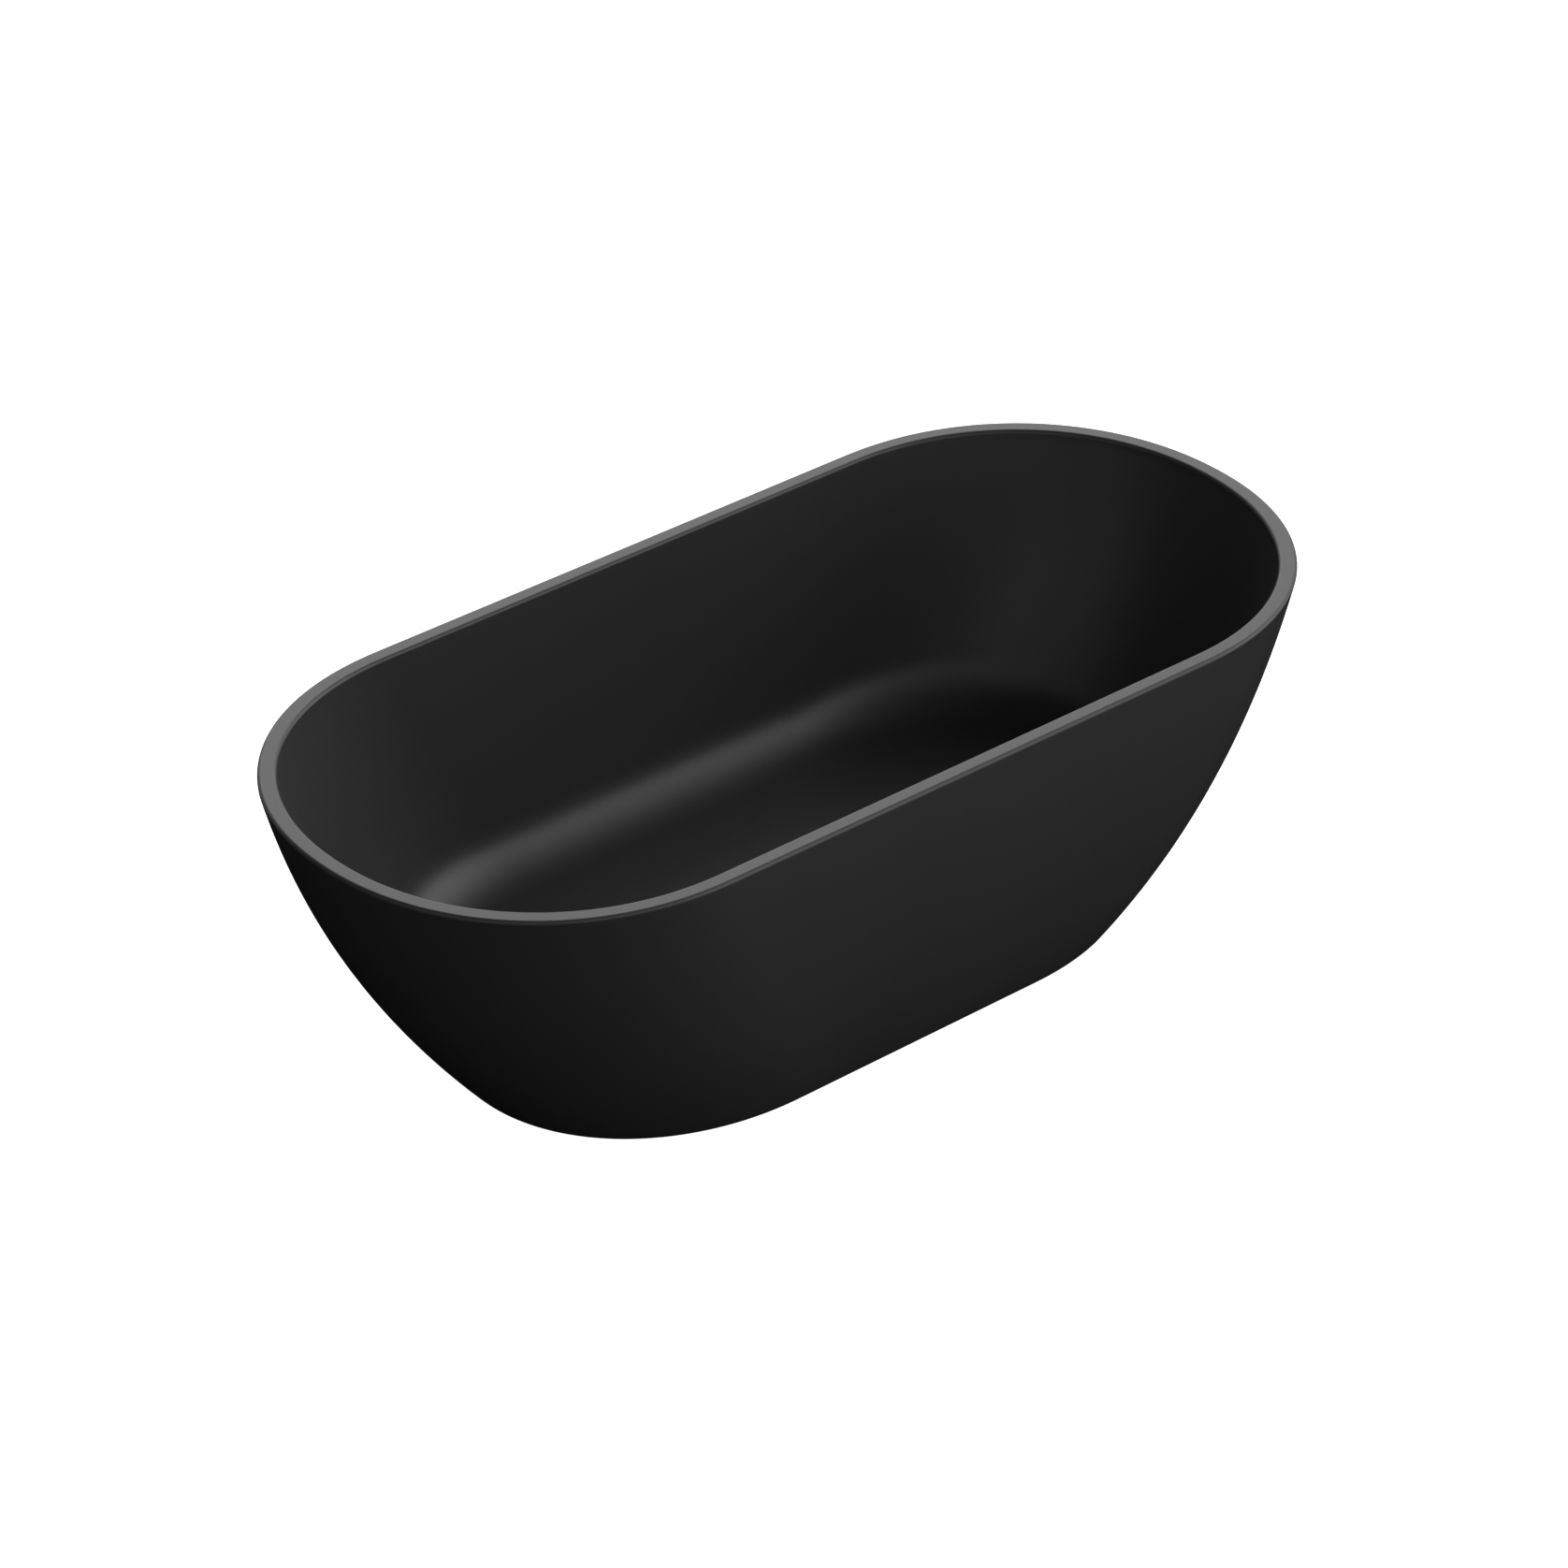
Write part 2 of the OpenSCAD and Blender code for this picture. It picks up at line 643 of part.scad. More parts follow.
module waste_flange() {
  r = flange_radius;
  color(black) {
    rotate_extrude() polygon([
      [throat_bore, throat_low], [throat_radius, throat_low], [throat_radius, flange_low],
      [r - 0.5, flange_low], [r, flange_low + 0.5], [r, flange_top - 1], [r - 1.5, flange_top],
      [throat_bore + 1.5, flange_top], [throat_bore, flange_top - 1.5]
    ]);
    translate([0, 0, spider_low]) {
      washer(cartridge_radius + fit_gap, cartridge_radius + 3, spider_height);
      for (a = [0:90:270]) rotate([0, 0, a]) translate([cartridge_radius + 2, -1.5, 0])
        cube([throat_bore - cartridge_radius - 1, 3, spider_height - 2]);
    }
  }
}

module waste_body() {
  collar = throat_radius + fit_gap;
  inside = body_radius - body_wall - 3;
  boss = pipe_radius + 5;
  boss_length = 16;
  color(plastic) difference() {
    union() {
      rotate_extrude() polygon([
        [0, outlet_low], [outlet_radius - 1, outlet_low], [outlet_radius, outlet_low + 1],
        [outlet_radius, body_low], [body_radius - 6, body_low], [body_radius - 3, body_low + 3],
        [body_radius - 3, collar_low], [collar + 6, body_top - 5], [body_radius, body_top - 4],
        [body_radius, body_top], [0, body_top]
      ]);
      translate([0, -inside, pipe_height]) rotate([90, 0, 0])
        cylinder(r = boss, h = body_radius - inside + boss_length);
    }
    translate([0, 0, collar_low]) cylinder(r = collar, h = body_top);
    translate([0, 0, body_low + body_wall])
      cylinder(r = inside, h = collar_low - body_low - body_wall + 0.01);
    translate([0, 0, outlet_low - 1]) cylinder(r = outlet_radius - body_wall - 1, h = body_low);
    translate([0, -inside + 4, pipe_height]) rotate([90, 0, 0])
      cylinder(r = pipe_radius - 2, h = body_radius);
    translate([0, -body_radius - boss_length + pipe_entry, pipe_height]) rotate([90, 0, 0])
      cylinder(r = pipe_radius + fit_gap, h = pipe_entry + 1);
  }
}
pipe_entry = 12;
pipe_end = body_radius + 16 - pipe_entry;

module plug_cap() {
  r = cap_radius;
  socket = 2.2;
  color(black) rotate_extrude() polygon(concat(
    [[0, cap_low + socket], [stem_radius + fit_gap, cap_low + socket]],
    [[stem_radius + fit_gap, cap_low]],
    [[r - 2, cap_low], [r - 2, cap_low - 1], [r - 0.6, cap_low - 1], [r, cap_low - 0.4]],
    [for (i = [0:8]) let (x = r * (1 - i / 8)) [x, cap_low + cap_edge - 1 + cap_dome * (1 - (x / r)^2)]]
  ));
}
module plug_seal() {
  color(rubber) translate([0, 0, flange_top + fit_gap])
    washer(throat_bore + 2.5, cap_radius - 3, seal_thickness);
}
module plug_stem() {
  low = stem_collar_top - stem_collar_height;
  neck = cartridge_radius - cartridge_wall - free_gap;
  color(steel) rotate_extrude() polygon([
    [0, low], [neck, low], [neck, stem_collar_top], [stem_radius, stem_collar_top],
    [stem_radius, cap_low + 1.5], [stem_radius - 0.5, cap_low + 2], [0, cap_low + 2]
  ]);
}
module click_cartridge() {
  r = cartridge_radius;
  inside = r - cartridge_wall;
  color(brass) rotate_extrude() polygon([
    [0, cartridge_low], [r - 1, cartridge_low], [r, cartridge_low + 1], [r, cartridge_top],
    [stem_radius + fit_gap, cartridge_top], [stem_radius + fit_gap, cartridge_top - 2],
    [inside, cartridge_top - 2], [inside, cartridge_low + 2], [0, cartridge_low + 2]
  ]);
}

// The spring inside the cartridge, as a round wire wound on a helix.
spring_wire = 0.6;
spring_coil = 4.4;
spring_turns = 5;
spring_low = cartridge_low + 2;
spring_high = stem_collar_top - stem_collar_height;
module cartridge_spring() {
  round_steps = 18;
  sides_of_wire = 6;
  rows = round_steps * spring_turns;
  clear = spring_wire + fit_gap;
  rise = spring_high - spring_low - 2 * clear;
  function wire_point(k, i) =
    let (turn = 360 * k / round_steps, a = 360 * i / sides_of_wire, r = spring_coil + spring_wire * cos(a))
    [r * cos(turn), r * sin(turn), spring_low + clear + rise * k / rows + spring_wire * sin(a)];
  points = [for (k = [0:rows], i = [0:sides_of_wire - 1]) wire_point(k, i)];
  walls = [
    for (k = [0:rows - 1], i = [0:sides_of_wire - 1])
      let (j = (i + 1) % sides_of_wire, a = k * sides_of_wire, b = a + sides_of_wire)
      for (face = [[a + i, a + j, b + j], [a + i, b + j, b + i]]) face
  ];
  caps = [
    [for (i = [sides_of_wire - 1:-1:0]) i],
    [for (i = [0:sides_of_wire - 1]) rows * sides_of_wire + i]
  ];
  color(steel) polyhedron(points = points, faces = concat(walls, caps));
}

// ---- overflow, inside the front wall ----

overflow_z = height - overflow_depth;
overflow_lean = atan(side_slope(overflow_z));
duct_low = bar_under - 6;
duct_high = overflow_z + 24;
duct_inset = rim_width - basin_thickness - duct_thickness;

// A frame on the bathing face of the front wall at the slot: +Y points out of the tub.
module overflow_place() {
  translate([0, -side_at(overflow_z, rim_width), overflow_z]) rotate([overflow_lean, 0, 0])
    scale([1, -1, 1]) children();
}

module overflow_trim() {
  plate = 2.5;
  w = overflow_width + 22;
  h = overflow_height + 15;
  room = trim_room(h / 2);
  slot_w = overflow_width - 6;
  slot_h = overflow_height - 3.4;
  reach = basin_thickness - 1;
  color(black) overflow_place() difference() {
    union() {
      translate([0, -plate / 2 - room, 0]) trim_plate(w, h, plate);
      translate([0, (reach - room) / 2 - 0.1, 0]) cube([
        overflow_width - 2 * free_gap, reach + room - 0.1, overflow_height - 2 * free_gap
      ], center = true);
    }
    cube([slot_w, 4 * reach, slot_h], center = true);
  }
}
// Room behind the flat plate for the curve of the wall over half of the plate's height.
function trim_room(d) = 0.1 + 5 * (side_at(overflow_z, rim_width)
  - (side_at(overflow_z - d, rim_width) + side_at(overflow_z + d, rim_width)) / 2);

module trim_plate(w, h, t) {
  rotate([90, 0, 0]) linear_extrude(t, center = true) {
    square([w - h, h], center = true);
    for (s = sides) translate([s * (w - h) / 2, 0]) circle(r = h / 2);
  }
}

// The duct's side view between two heights and two insets from the outer face.
function duct_side(inset_a, inset_b, low, high) =
  let (zs = steps(low, high, 24))
  concat(
    [for (z = zs) [-side_at(z, inset_a), z]],
    [for (i = [24:-1:0]) [-side_at(zs[i], inset_b), zs[i]]]
  );
module duct_shape(inset_a, inset_b, low, high, w) {
  rotate([90, 0, 90]) linear_extrude(w, center = true)
    polygon(duct_side(inset_a, inset_b, low, high));
}

duct_boss_length = 24;
duct_boss_face = side_at(pipe_height, duct_inset + duct_thickness) - duct_boss_length;
module overflow_duct() {
  w = duct_wall;
  far = duct_inset + duct_thickness - 0.1;
  boss = pipe_radius + 5;
  color(plastic) difference() {
    union() {
      duct_shape(duct_inset, far, duct_low, duct_high, duct_width);
      translate([0, -duct_boss_face, pipe_height]) rotate([90, 0, 0])
        cylinder(r = boss, h = duct_boss_length + 4);
    }
    duct_shape(duct_inset + w, far - w, duct_low + w, duct_high - w, duct_width - 2 * w);
    overflow_place() translate([0, basin_thickness + 1, 0])
      cube([overflow_width + 4, 6, overflow_height + 4], center = true);
    translate([0, -duct_boss_face + 1, pipe_height]) rotate([90, 0, 0])
      cylinder(r = pipe_radius - 2, h = duct_boss_length + 4);
    translate([0, -duct_boss_face + 1, pipe_height]) rotate([90, 0, 0])
      cylinder(r = pipe_radius + fit_gap, h = pipe_entry + 1);
  }
}

module overflow_pipe() {
  near = pipe_end + 0.5;
  far = duct_boss_face + pipe_entry - 0.5;
  color(pipe_grey) translate([0, -near, pipe_height]) rotate([90, 0, 0]) difference() {
    cylinder(r = pipe_radius, h = far - near);
    translate([0, 0, -1]) cylinder(r = pipe_radius - 2, h = far - near + 2);
  }
}

// Union nuts, one on each boss, closing on the pipe.
module union_nut() {
  boss = pipe_radius + 5;
  difference() {
    union() {
      cylinder(r = boss + 3, h = 12);
      for (a = [0:30:330]) rotate([0, 0, a]) translate([boss + 3, 0, 0]) cylinder(r = 1.2, h = 12, $fn = 24);
    }
    translate([0, 0, 3]) cylinder(r = boss + fit_gap, h = 10);
    translate([0, 0, -1]) cylinder(r = pipe_radius + fit_gap, h = 5);
  }
}
module pipe_nuts() {
  color(plastic) {
    translate([0, -body_radius - 16 - 3 - fit_gap, pipe_height]) rotate([-90, 0, 0]) union_nut();
    translate([0, -duct_boss_face + 3 + fit_gap, pipe_height]) rotate([90, 0, 0]) union_nut();
  }
}

inner_basin();
outer_skirt();
rim_bond();
base_board();
rail_front();
rail_back();
cross_bar_left();
cross_bar_right();
rail_plugs();
bar_plugs();
rail_bolts();
rail_nuts();
board_screws();
bracket_left_front();
bracket_left_back();
bracket_right_front();
bracket_right_back();
bracket_bolts();
bracket_nuts();
bracket_screws();
weld_nuts();
lock_nuts();
stud_left_front();
stud_left_back();
stud_right_front();
stud_right_back();
pad_left_front();
pad_left_back();
pad_right_front();
pad_right_back();
waste_flange();
waste_seal_top();
waste_seal_bottom();
waste_body();
plug_cap();
plug_seal();
plug_stem();
click_cartridge();
cartridge_spring();
overflow_trim();
overflow_duct();
overflow_pipe();
pipe_nuts();
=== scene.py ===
# %% [markdown]
# # A freestanding bathtub in matt black
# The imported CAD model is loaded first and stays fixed: it says where every piece is and how
# the moving ones travel. Everything made below is in metres in that same frame, with the
# floor at z = 0, X along the tub and Y across it. The front long side is at -Y.

# %% Load the fixed frame
import json
import math

import bmesh
import bpy
from mathutils import Matrix, Vector


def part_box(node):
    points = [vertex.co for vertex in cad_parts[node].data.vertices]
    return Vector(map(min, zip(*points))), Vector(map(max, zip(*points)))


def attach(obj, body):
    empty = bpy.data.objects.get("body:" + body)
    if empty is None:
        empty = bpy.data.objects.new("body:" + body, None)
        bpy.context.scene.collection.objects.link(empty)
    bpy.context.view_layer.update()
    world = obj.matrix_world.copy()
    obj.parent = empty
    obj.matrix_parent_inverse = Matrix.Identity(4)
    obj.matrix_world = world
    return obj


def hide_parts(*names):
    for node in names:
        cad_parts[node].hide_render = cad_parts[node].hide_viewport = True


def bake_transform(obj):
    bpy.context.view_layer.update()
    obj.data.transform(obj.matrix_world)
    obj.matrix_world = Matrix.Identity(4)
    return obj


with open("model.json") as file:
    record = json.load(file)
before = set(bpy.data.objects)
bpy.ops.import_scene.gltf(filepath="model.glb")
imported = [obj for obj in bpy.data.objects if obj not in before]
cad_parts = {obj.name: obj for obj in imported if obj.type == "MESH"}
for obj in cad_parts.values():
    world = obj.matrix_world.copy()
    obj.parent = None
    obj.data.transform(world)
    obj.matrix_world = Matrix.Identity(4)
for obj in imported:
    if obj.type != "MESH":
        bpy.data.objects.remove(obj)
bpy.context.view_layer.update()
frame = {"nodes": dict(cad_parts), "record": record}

scene = bpy.context.scene
MM = 0.001

# %% [markdown]
# ## The camera
# The tub is seen from one corner and from well above, through a long lens, so that its
# long sides stay almost parallel. Placing the camera by its compass angle, its elevation
# and its distance is easier to adjust than typing in a rotation.

# %% Camera
AZIMUTH, ELEVATION = math.radians(-40.44), math.radians(32.14)
LENS = 143.63
CAMERA_AT = Vector((-5.0151, -5.8681, 5.1518))


def place_camera():
    """Make the camera, looking down at the tub along its azimuth and elevation."""
    back = Vector((
        math.sin(AZIMUTH) * math.cos(ELEVATION),
        -math.cos(AZIMUTH) * math.cos(ELEVATION),
        math.sin(ELEVATION),
    ))
    data = bpy.data.cameras.new("camera")
    data.lens = LENS
    data.sensor_width = 36
    data.clip_start, data.clip_end = 0.1, 100
    camera = bpy.data.objects.new("camera", data)
    scene.collection.objects.link(camera)
    camera.location = CAMERA_AT
    camera.rotation_mode = "QUATERNION"
    camera.rotation_quaternion = (-back).to_track_quat("-Z", "Y")
    scene.camera = camera
    return camera


camera = place_camera()
print("camera", tuple(round(v, 3) for v in camera.location))

# %% [markdown]
# ## Shader maths as expressions
# A material is a web of nodes. Writing `1 - mask * 0.3` is clearer than wiring three Math
# nodes by hand, so a small class wraps a socket and lets Python's operators add the nodes.
# Colours never go through a Math node, which would turn them grey: they use Mix.

# %% The socket class


class Wire:
    """A socket in a node tree that arithmetic can be done with."""

    def __init__(self, tree, socket):
        self.tree, self.socket = tree, socket

    @classmethod
    def node(cls, tree, kind, settings=None, inputs=None, out=0):
        """Add a node: its settings first, then the values or links of its sockets."""
        node = tree.nodes.new(kind)
        for key, value in (settings or {}).items():
            setattr(node, key, value)
        for key, value in (inputs or {}).items():
            if isinstance(value, cls):
                tree.links.new(value.socket, node.inputs[key])
            else:
                node.inputs[key].default_value = value
        return cls(tree, node.outputs[out])

    def math(self, operation, *values):
        return self.node(self.tree, "ShaderNodeMath", {"operation": operation},
                         dict(enumerate(values)))

    def __add__(self, other):
        return self.math("ADD", self, other)

    __radd__ = __add__

    def __sub__(self, other):
        return self.math("SUBTRACT", self, other)

    def __rsub__(self, other):
        return self.math("SUBTRACT", other, self)

    def __mul__(self, other):
        return self.math("MULTIPLY", self, other)

    __rmul__ = __mul__

    def clamp(self):
        return self.math("MAXIMUM", self.math("MINIMUM", self, 1.0), 0.0)


MIX_FACTOR, MIX_A, MIX_B, MIX_OUT = 0, 6, 7, 2


def mix_colour(tree, factor, a, b):
    """Blend two colours, which may be plain values or wires."""
    return Wire.node(tree, "ShaderNodeMix", {"data_type": "RGBA"},
                     {MIX_FACTOR: factor, MIX_A: a, MIX_B: b}, out=MIX_OUT)


def grey(value):
    return value, value, value, 1


print("shader helpers ready")

# %% [markdown]
# ## Noise, grain and the final surface
# All textures read the object coordinates. Every object sits at the origin, so these are
# metres, and a grain of 1 mm is a noise of scale 1000. The helper at the end joins colour,
# roughness and bump into one Principled surface.

# %% Texture helpers
MIDDLE = 0.3, 0.7


def metres(tree):
    return Wire.node(tree, "ShaderNodeTexCoord", out="Object")


def stretch(tree, vector, scale):
    return Wire.node(tree, "ShaderNodeMapping", {}, {"Vector": vector, "Scale": scale})


def noise(tree, vector, scale, detail=3.0, roughness=0.5):
    return Wire.node(tree, "ShaderNodeTexNoise", {}, {
        "Vector": vector, "Scale": scale, "Detail": detail, "Roughness": roughness,
    })


def ramp(tree, value, low, high):
    """Stretch a value so that low becomes 0 and high becomes 1. Noise keeps near its middle."""
    return Wire.node(tree, "ShaderNodeMapRange", {"clamp": True}, {
        "Value": value, "From Min": low, "From Max": high,
    })


def bump(tree, height, distance, strength=1.0, below=None):
    inputs = {"Height": height, "Distance": distance, "Strength": strength}
    if below is not None:
        inputs["Normal"] = below
    return Wire.node(tree, "ShaderNodeBump", {}, inputs)


def new_surface(name, colour, roughness, normal, **fixed):
    """A Principled material. What varies is linked, what is the same all over is set."""
    material = bpy.data.materials.new(name)
    material.use_nodes = True
    tree = material.node_tree
    shader = tree.nodes["Principled BSDF"]
    for label, value in fixed.items():
        shader.inputs[label.replace("_", " ")].default_value = value
    built = {"Base Color": colour(tree), "Roughness": roughness(tree), "Normal": normal(tree)}
    for label, wire in built.items():
        tree.links.new(wire.socket, shader.inputs[label])
    return material


print("texture helpers ready")

# %% [markdown]
# ## The black shell finish
# Both skins are black right through and have a satin-matt face. Its depth comes from three
# things: a colour that is not quite even, a roughness that drifts a little over a hand's
# width, and a very fine grain in the face itself. The flat top of the rim is painted in the
# plain paler shell tone, a painted highlight that makes it a little lighter and even.

# %% Shell material
SHELL_DARK, SHELL_PALE, SHELL_ROUGH, ROUGH_DRIFT = 0.037, 0.043, 0.36, 0.03
# Heights over which the flat of the rim fades into its painted highlight, a paler tone.
RIM_HIGHLIGHT_FROM, RIM_HIGHLIGHT_TO = 0.5165, 0.5195
RIPPLE, GRAIN = 0.22 * MM, 0.03 * MM


def painted_rim_highlight(tree):
    """Painted highlight mask: 1 on the flat of the rim and 0 below its rounded edges."""
    height_here = Wire.node(tree, "ShaderNodeSeparateXYZ", {}, {"Vector": metres(tree)}, out="Z")
    return ramp(tree, height_here, RIM_HIGHLIGHT_FROM, RIM_HIGHLIGHT_TO)


def shell_colour(tree):
    where = metres(tree)
    drift = ramp(tree, noise(tree, where, 3.2, 4), *MIDDLE)
    grain = ramp(tree, noise(tree, where, 700, 2), *MIDDLE)
    body = mix_colour(tree, (drift * 0.5 + grain * 0.5).clamp(), grey(SHELL_DARK), grey(SHELL_PALE))
    # The flat of the rim takes the paler shell tone: a painted highlight.
    return mix_colour(tree, painted_rim_highlight(tree), body, grey(SHELL_PALE))


def shell_roughness(tree):
    where = metres(tree)
    drift = noise(tree, where, 5.5, 4)
    wiped = noise(tree, stretch(tree, where, (1, 4, 4)), 9, 5)
    return SHELL_ROUGH + (drift - 0.5) * ROUGH_DRIFT + (wiped - 0.5) * ROUGH_DRIFT


def shell_normal(tree):
    where = metres(tree)
    ripple = bump(tree, noise(tree, where, 7, 2), RIPPLE)
    return bump(tree, noise(tree, where, 1500, 2), GRAIN, 0.6, below=ripple)


shell = new_surface("black_shell", shell_colour, shell_roughness, shell_normal, IOR=1.5)
print("made", shell.name)

# %% [markdown]
# ## Finishes of the fittings and the frame
# The hidden pieces are ordinary building metal, plastic, rubber and board. One maker builds
# most of them from the same three ideas (a drifting colour, a drifting roughness and a
# grain) with different numbers, and the board and the galvanised steel get their own.

# %% Plain finishes


def plain(name, dark, pale, rough, drift, grain_scale, grain_depth, **fixed):
    """A finish with a drifting colour and roughness and a fine grain."""
    def colour(tree):
        cloud = ramp(tree, noise(tree, metres(tree), 40, 4), *MIDDLE)
        return mix_colour(tree, cloud, (*dark, 1), (*pale, 1))

    def roughness(tree):
        return rough + (noise(tree, metres(tree), 60, 4) - 0.5) * drift

    def normal(tree):
        return bump(tree, noise(tree, metres(tree), grain_scale, 3), grain_depth, 0.5)

    return new_surface(name, colour, roughness, normal, **fixed)


finishes = {
    "black_shell": shell,
    "joint_adhesive": plain("joint_adhesive", (SHELL_DARK,) * 3, (SHELL_PALE,) * 3, 0.37, 0.08,
                            1500, 0.00003),
    "black_metal": plain("black_metal", (0.014,) * 3, (0.020,) * 3, 0.36, 0.08, 2600, 0.00003,
                         Metallic=0.35),
    "black_plastic": plain("black_plastic", (0.016,) * 3, (0.024,) * 3, 0.52, 0.1, 1800, 0.00006),
    "white_plastic": plain("white_plastic", (0.66, 0.66, 0.64), (0.74, 0.74, 0.72), 0.34, 0.1,
                           900, 0.00003),
    "seal_rubber": plain("seal_rubber", (0.013,) * 3, (0.022,) * 3, 0.72, 0.12, 1100, 0.00008),
    "brass": plain("brass", (0.60, 0.42, 0.17), (0.72, 0.53, 0.25), 0.30, 0.14, 1300, 0.00004,
                   Metallic=1.0),
    "stainless": plain("stainless", (0.50, 0.50, 0.49), (0.60, 0.60, 0.59), 0.27, 0.12, 1600,
                       0.00003, Metallic=1.0),
    "steel_frame": plain("steel_frame", (0.040, 0.042, 0.044), (0.058, 0.060, 0.062), 0.46, 0.14,
                         700, 0.00012),
}
print("made", len(finishes), "finishes")

# %% [markdown]
# Galvanised steel shows its zinc crystals as a patchwork of flat greys, each with its own
# sheen, which is just what Voronoi cells look like. The board is wood under a thin coat of
# resin, so it has long grain with a soft gloss over it.

# %% Galvanised steel and coated board


def zinc_cells(tree):
    cells = Wire.node(tree, "ShaderNodeTexVoronoi", {}, {"Vector": metres(tree), "Scale": 260},
                      out="Color")
    return Wire.node(tree, "ShaderNodeSeparateColor", {}, {"Color": cells})


def zinc_colour(tree):
    return mix_colour(tree, zinc_cells(tree), (0.42, 0.43, 0.44, 1), (0.60, 0.61, 0.61, 1))


def zinc_roughness(tree):
    return 0.30 + zinc_cells(tree) * 0.18


def zinc_normal(tree):
    return bump(tree, noise(tree, metres(tree), 900, 3), 0.00004, 0.5)


def board_grain(tree):
    along = stretch(tree, metres(tree), (1.5, 22, 22))
    return noise(tree, along, 6, 6, 0.6)


def board_colour(tree):
    return mix_colour(tree, ramp(tree, board_grain(tree), 0.35, 0.65),
                      (0.30, 0.19, 0.095, 1), (0.48, 0.34, 0.19, 1))


def board_roughness(tree):
    return 0.38 + board_grain(tree) * 0.2


def board_normal(tree):
    return bump(tree, board_grain(tree), 0.0003, 0.6)


finishes["zinc"] = new_surface("zinc", zinc_colour, zinc_roughness, zinc_normal, Metallic=1.0)
finishes["board"] = new_surface("board", board_colour, board_roughness, board_normal,
                                Coat_Weight=0.25)
print("finishes:", ", ".join(sorted(finishes)))

# %% [markdown]
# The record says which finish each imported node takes. The nodes that stay as they are get
# their finish here, in the slots that they came with.

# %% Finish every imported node
node_finish = {part["node"]: part["material_slot"] for part in frame["record"]["subparts"]}
for name, node in frame["nodes"].items():
    for place in node.material_slots:
        place.material = finishes[node_finish[name]]
print("finished", len(node_finish), "nodes")

# %% [markdown]
# ## The shape of the tub
# The wall of the tub is one smooth curve at the ends and another at the sides, each fixed by
# where it starts under the rim, where it meets the floor, and its lean at both places. The
# outline seen from above is a straight side with a rounded end. The overall sizes come from
# the CAD box, so the looks can't grow past it.

# %% Driving sizes
basin_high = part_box("inner_basin")[1]
height = basin_high.z
half_length, half_width = basin_high.x, basin_high.y
BASE_HALF_LENGTH, BASE_HALF_WIDTH = 0.578, 0.287
RIM_STRAIGHT, BASE_STRAIGHT = 0.447, 0.228
FULLNESS = 2.09
END_LEANS = math.radians(13.7), math.radians(40.1)
SIDE_LEANS = math.radians(2.4), math.radians(27.6)
RIM_WIDTH, EDGE, RIM_PLATE = 27.5 * MM, 5.5 * MM, 8 * MM
BASIN_WALL, SKIRT_WALL, LIP = 7 * MM, 6 * MM, 18.5 * MM
FLOOR_Z, FLOOR_FALL, FILLET = 120 * MM, 3 * MM, 93 * MM
edge_z, lip_z, skirt_z = height - EDGE, height - RIM_PLATE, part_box("outer_skirt")[1].z
fillet_z = FLOOR_Z + FILLET
print("tub", round(2 * half_length, 4), "x", round(2 * half_width, 4), "x", round(height, 4))

# %% [markdown]
# A cubic curve through two ends with two slopes is the simplest wall that can start almost
# upright and end with a strong lean, and it has no kinks to catch the light. Above it, the
# rim's edge is a plain quarter circle that starts at the lean of the wall.

# %% The wall curves


def wall(z, half, base_half, leans):
    """Half size of the outer wall at height z."""
    top = edge_z - EDGE * math.sin(leans[0])
    if z > top:
        return half - EDGE + math.sqrt(max(0.0, EDGE ** 2 - (z - edge_z) ** 2))
    u = (top - z) / top
    start = half - EDGE * (1 - math.cos(leans[0]))
    total = start - base_half
    upper, lower = math.tan(leans[0]) * top, math.tan(leans[1]) * top
    return (start - upper * u - (3 * total - 2 * upper - lower) * u ** 2
            - (upper + lower - 2 * total) * u ** 3)


def end_wall(z):
    return wall(z, half_length, BASE_HALF_LENGTH, END_LEANS)


def side_wall(z):
    return wall(z, half_width, BASE_HALF_WIDTH, SIDE_LEANS)


def inset_wall(curve, leans, z, inset):
    """The same curve set back square to the wall."""
    near = min(z, edge_z - EDGE * math.sin(leans[0]) - MM)
    slope = (curve(near + MM) - curve(near - MM)) / (2 * MM)
    return curve(z) - inset * math.sqrt(1 + slope ** 2)


def end_at(z, inset=0.0):
    return inset_wall(end_wall, END_LEANS, z, inset)


def side_at(z, inset=0.0):
    return inset_wall(side_wall, SIDE_LEANS, z, inset)


def straight(z):
    return RIM_STRAIGHT + (BASE_STRAIGHT - RIM_STRAIGHT) * (height - z) / height


print("floor line", round(end_at(0) * 2, 4), "x", round(side_at(0) * 2, 4))

# %% [markdown]
# The bathing wall runs into the floor through a large fillet. Where wall and fillet meet
# depends on the slope of the wall there, so the height is found by putting each answer back
# into the sum until it stops moving.

# %% The basin curves


def meeting_height(at):
    """Height where the wall runs smoothly into the fillet."""
    z = fillet_z
    for _ in range(12):
        slope = (at(z + MM, RIM_WIDTH) - at(z - MM, RIM_WIDTH)) / (2 * MM)
        z = fillet_z - FILLET * slope / math.sqrt(1 + slope ** 2)
    return z


def fillet_reach(z, radius):
    return math.sqrt(max(0.0, radius ** 2 - (fillet_z - z) ** 2))


def basin_half(at, meet, z, grow):
    """Half size of the bathing face, or of a face that lies grow behind it."""
    floor_half = at(meet, RIM_WIDTH) - fillet_reach(meet, FILLET)
    radius = FILLET + grow
    if z < fillet_z - (fillet_z - meet) * radius / FILLET:
        return floor_half + fillet_reach(z, radius)
    return at(z, RIM_WIDTH - grow)


end_meet, side_meet = meeting_height(end_at), meeting_height(side_at)
print("fillet ends at", round(end_meet, 4), "and", round(side_meet, 4))

# %% [markdown]
# Every level of the tub is one ring of points. All rings hold the same number of points in
# the same order, so that neighbours join with plain four-sided faces, which smooth shading
# follows best. Round rings share the order, so the floor can close in on the round waste.

# %% Rings
CORNER_STEPS, SIDE_STEPS = 44, 14
ROUND_SHARE = math.radians(24)


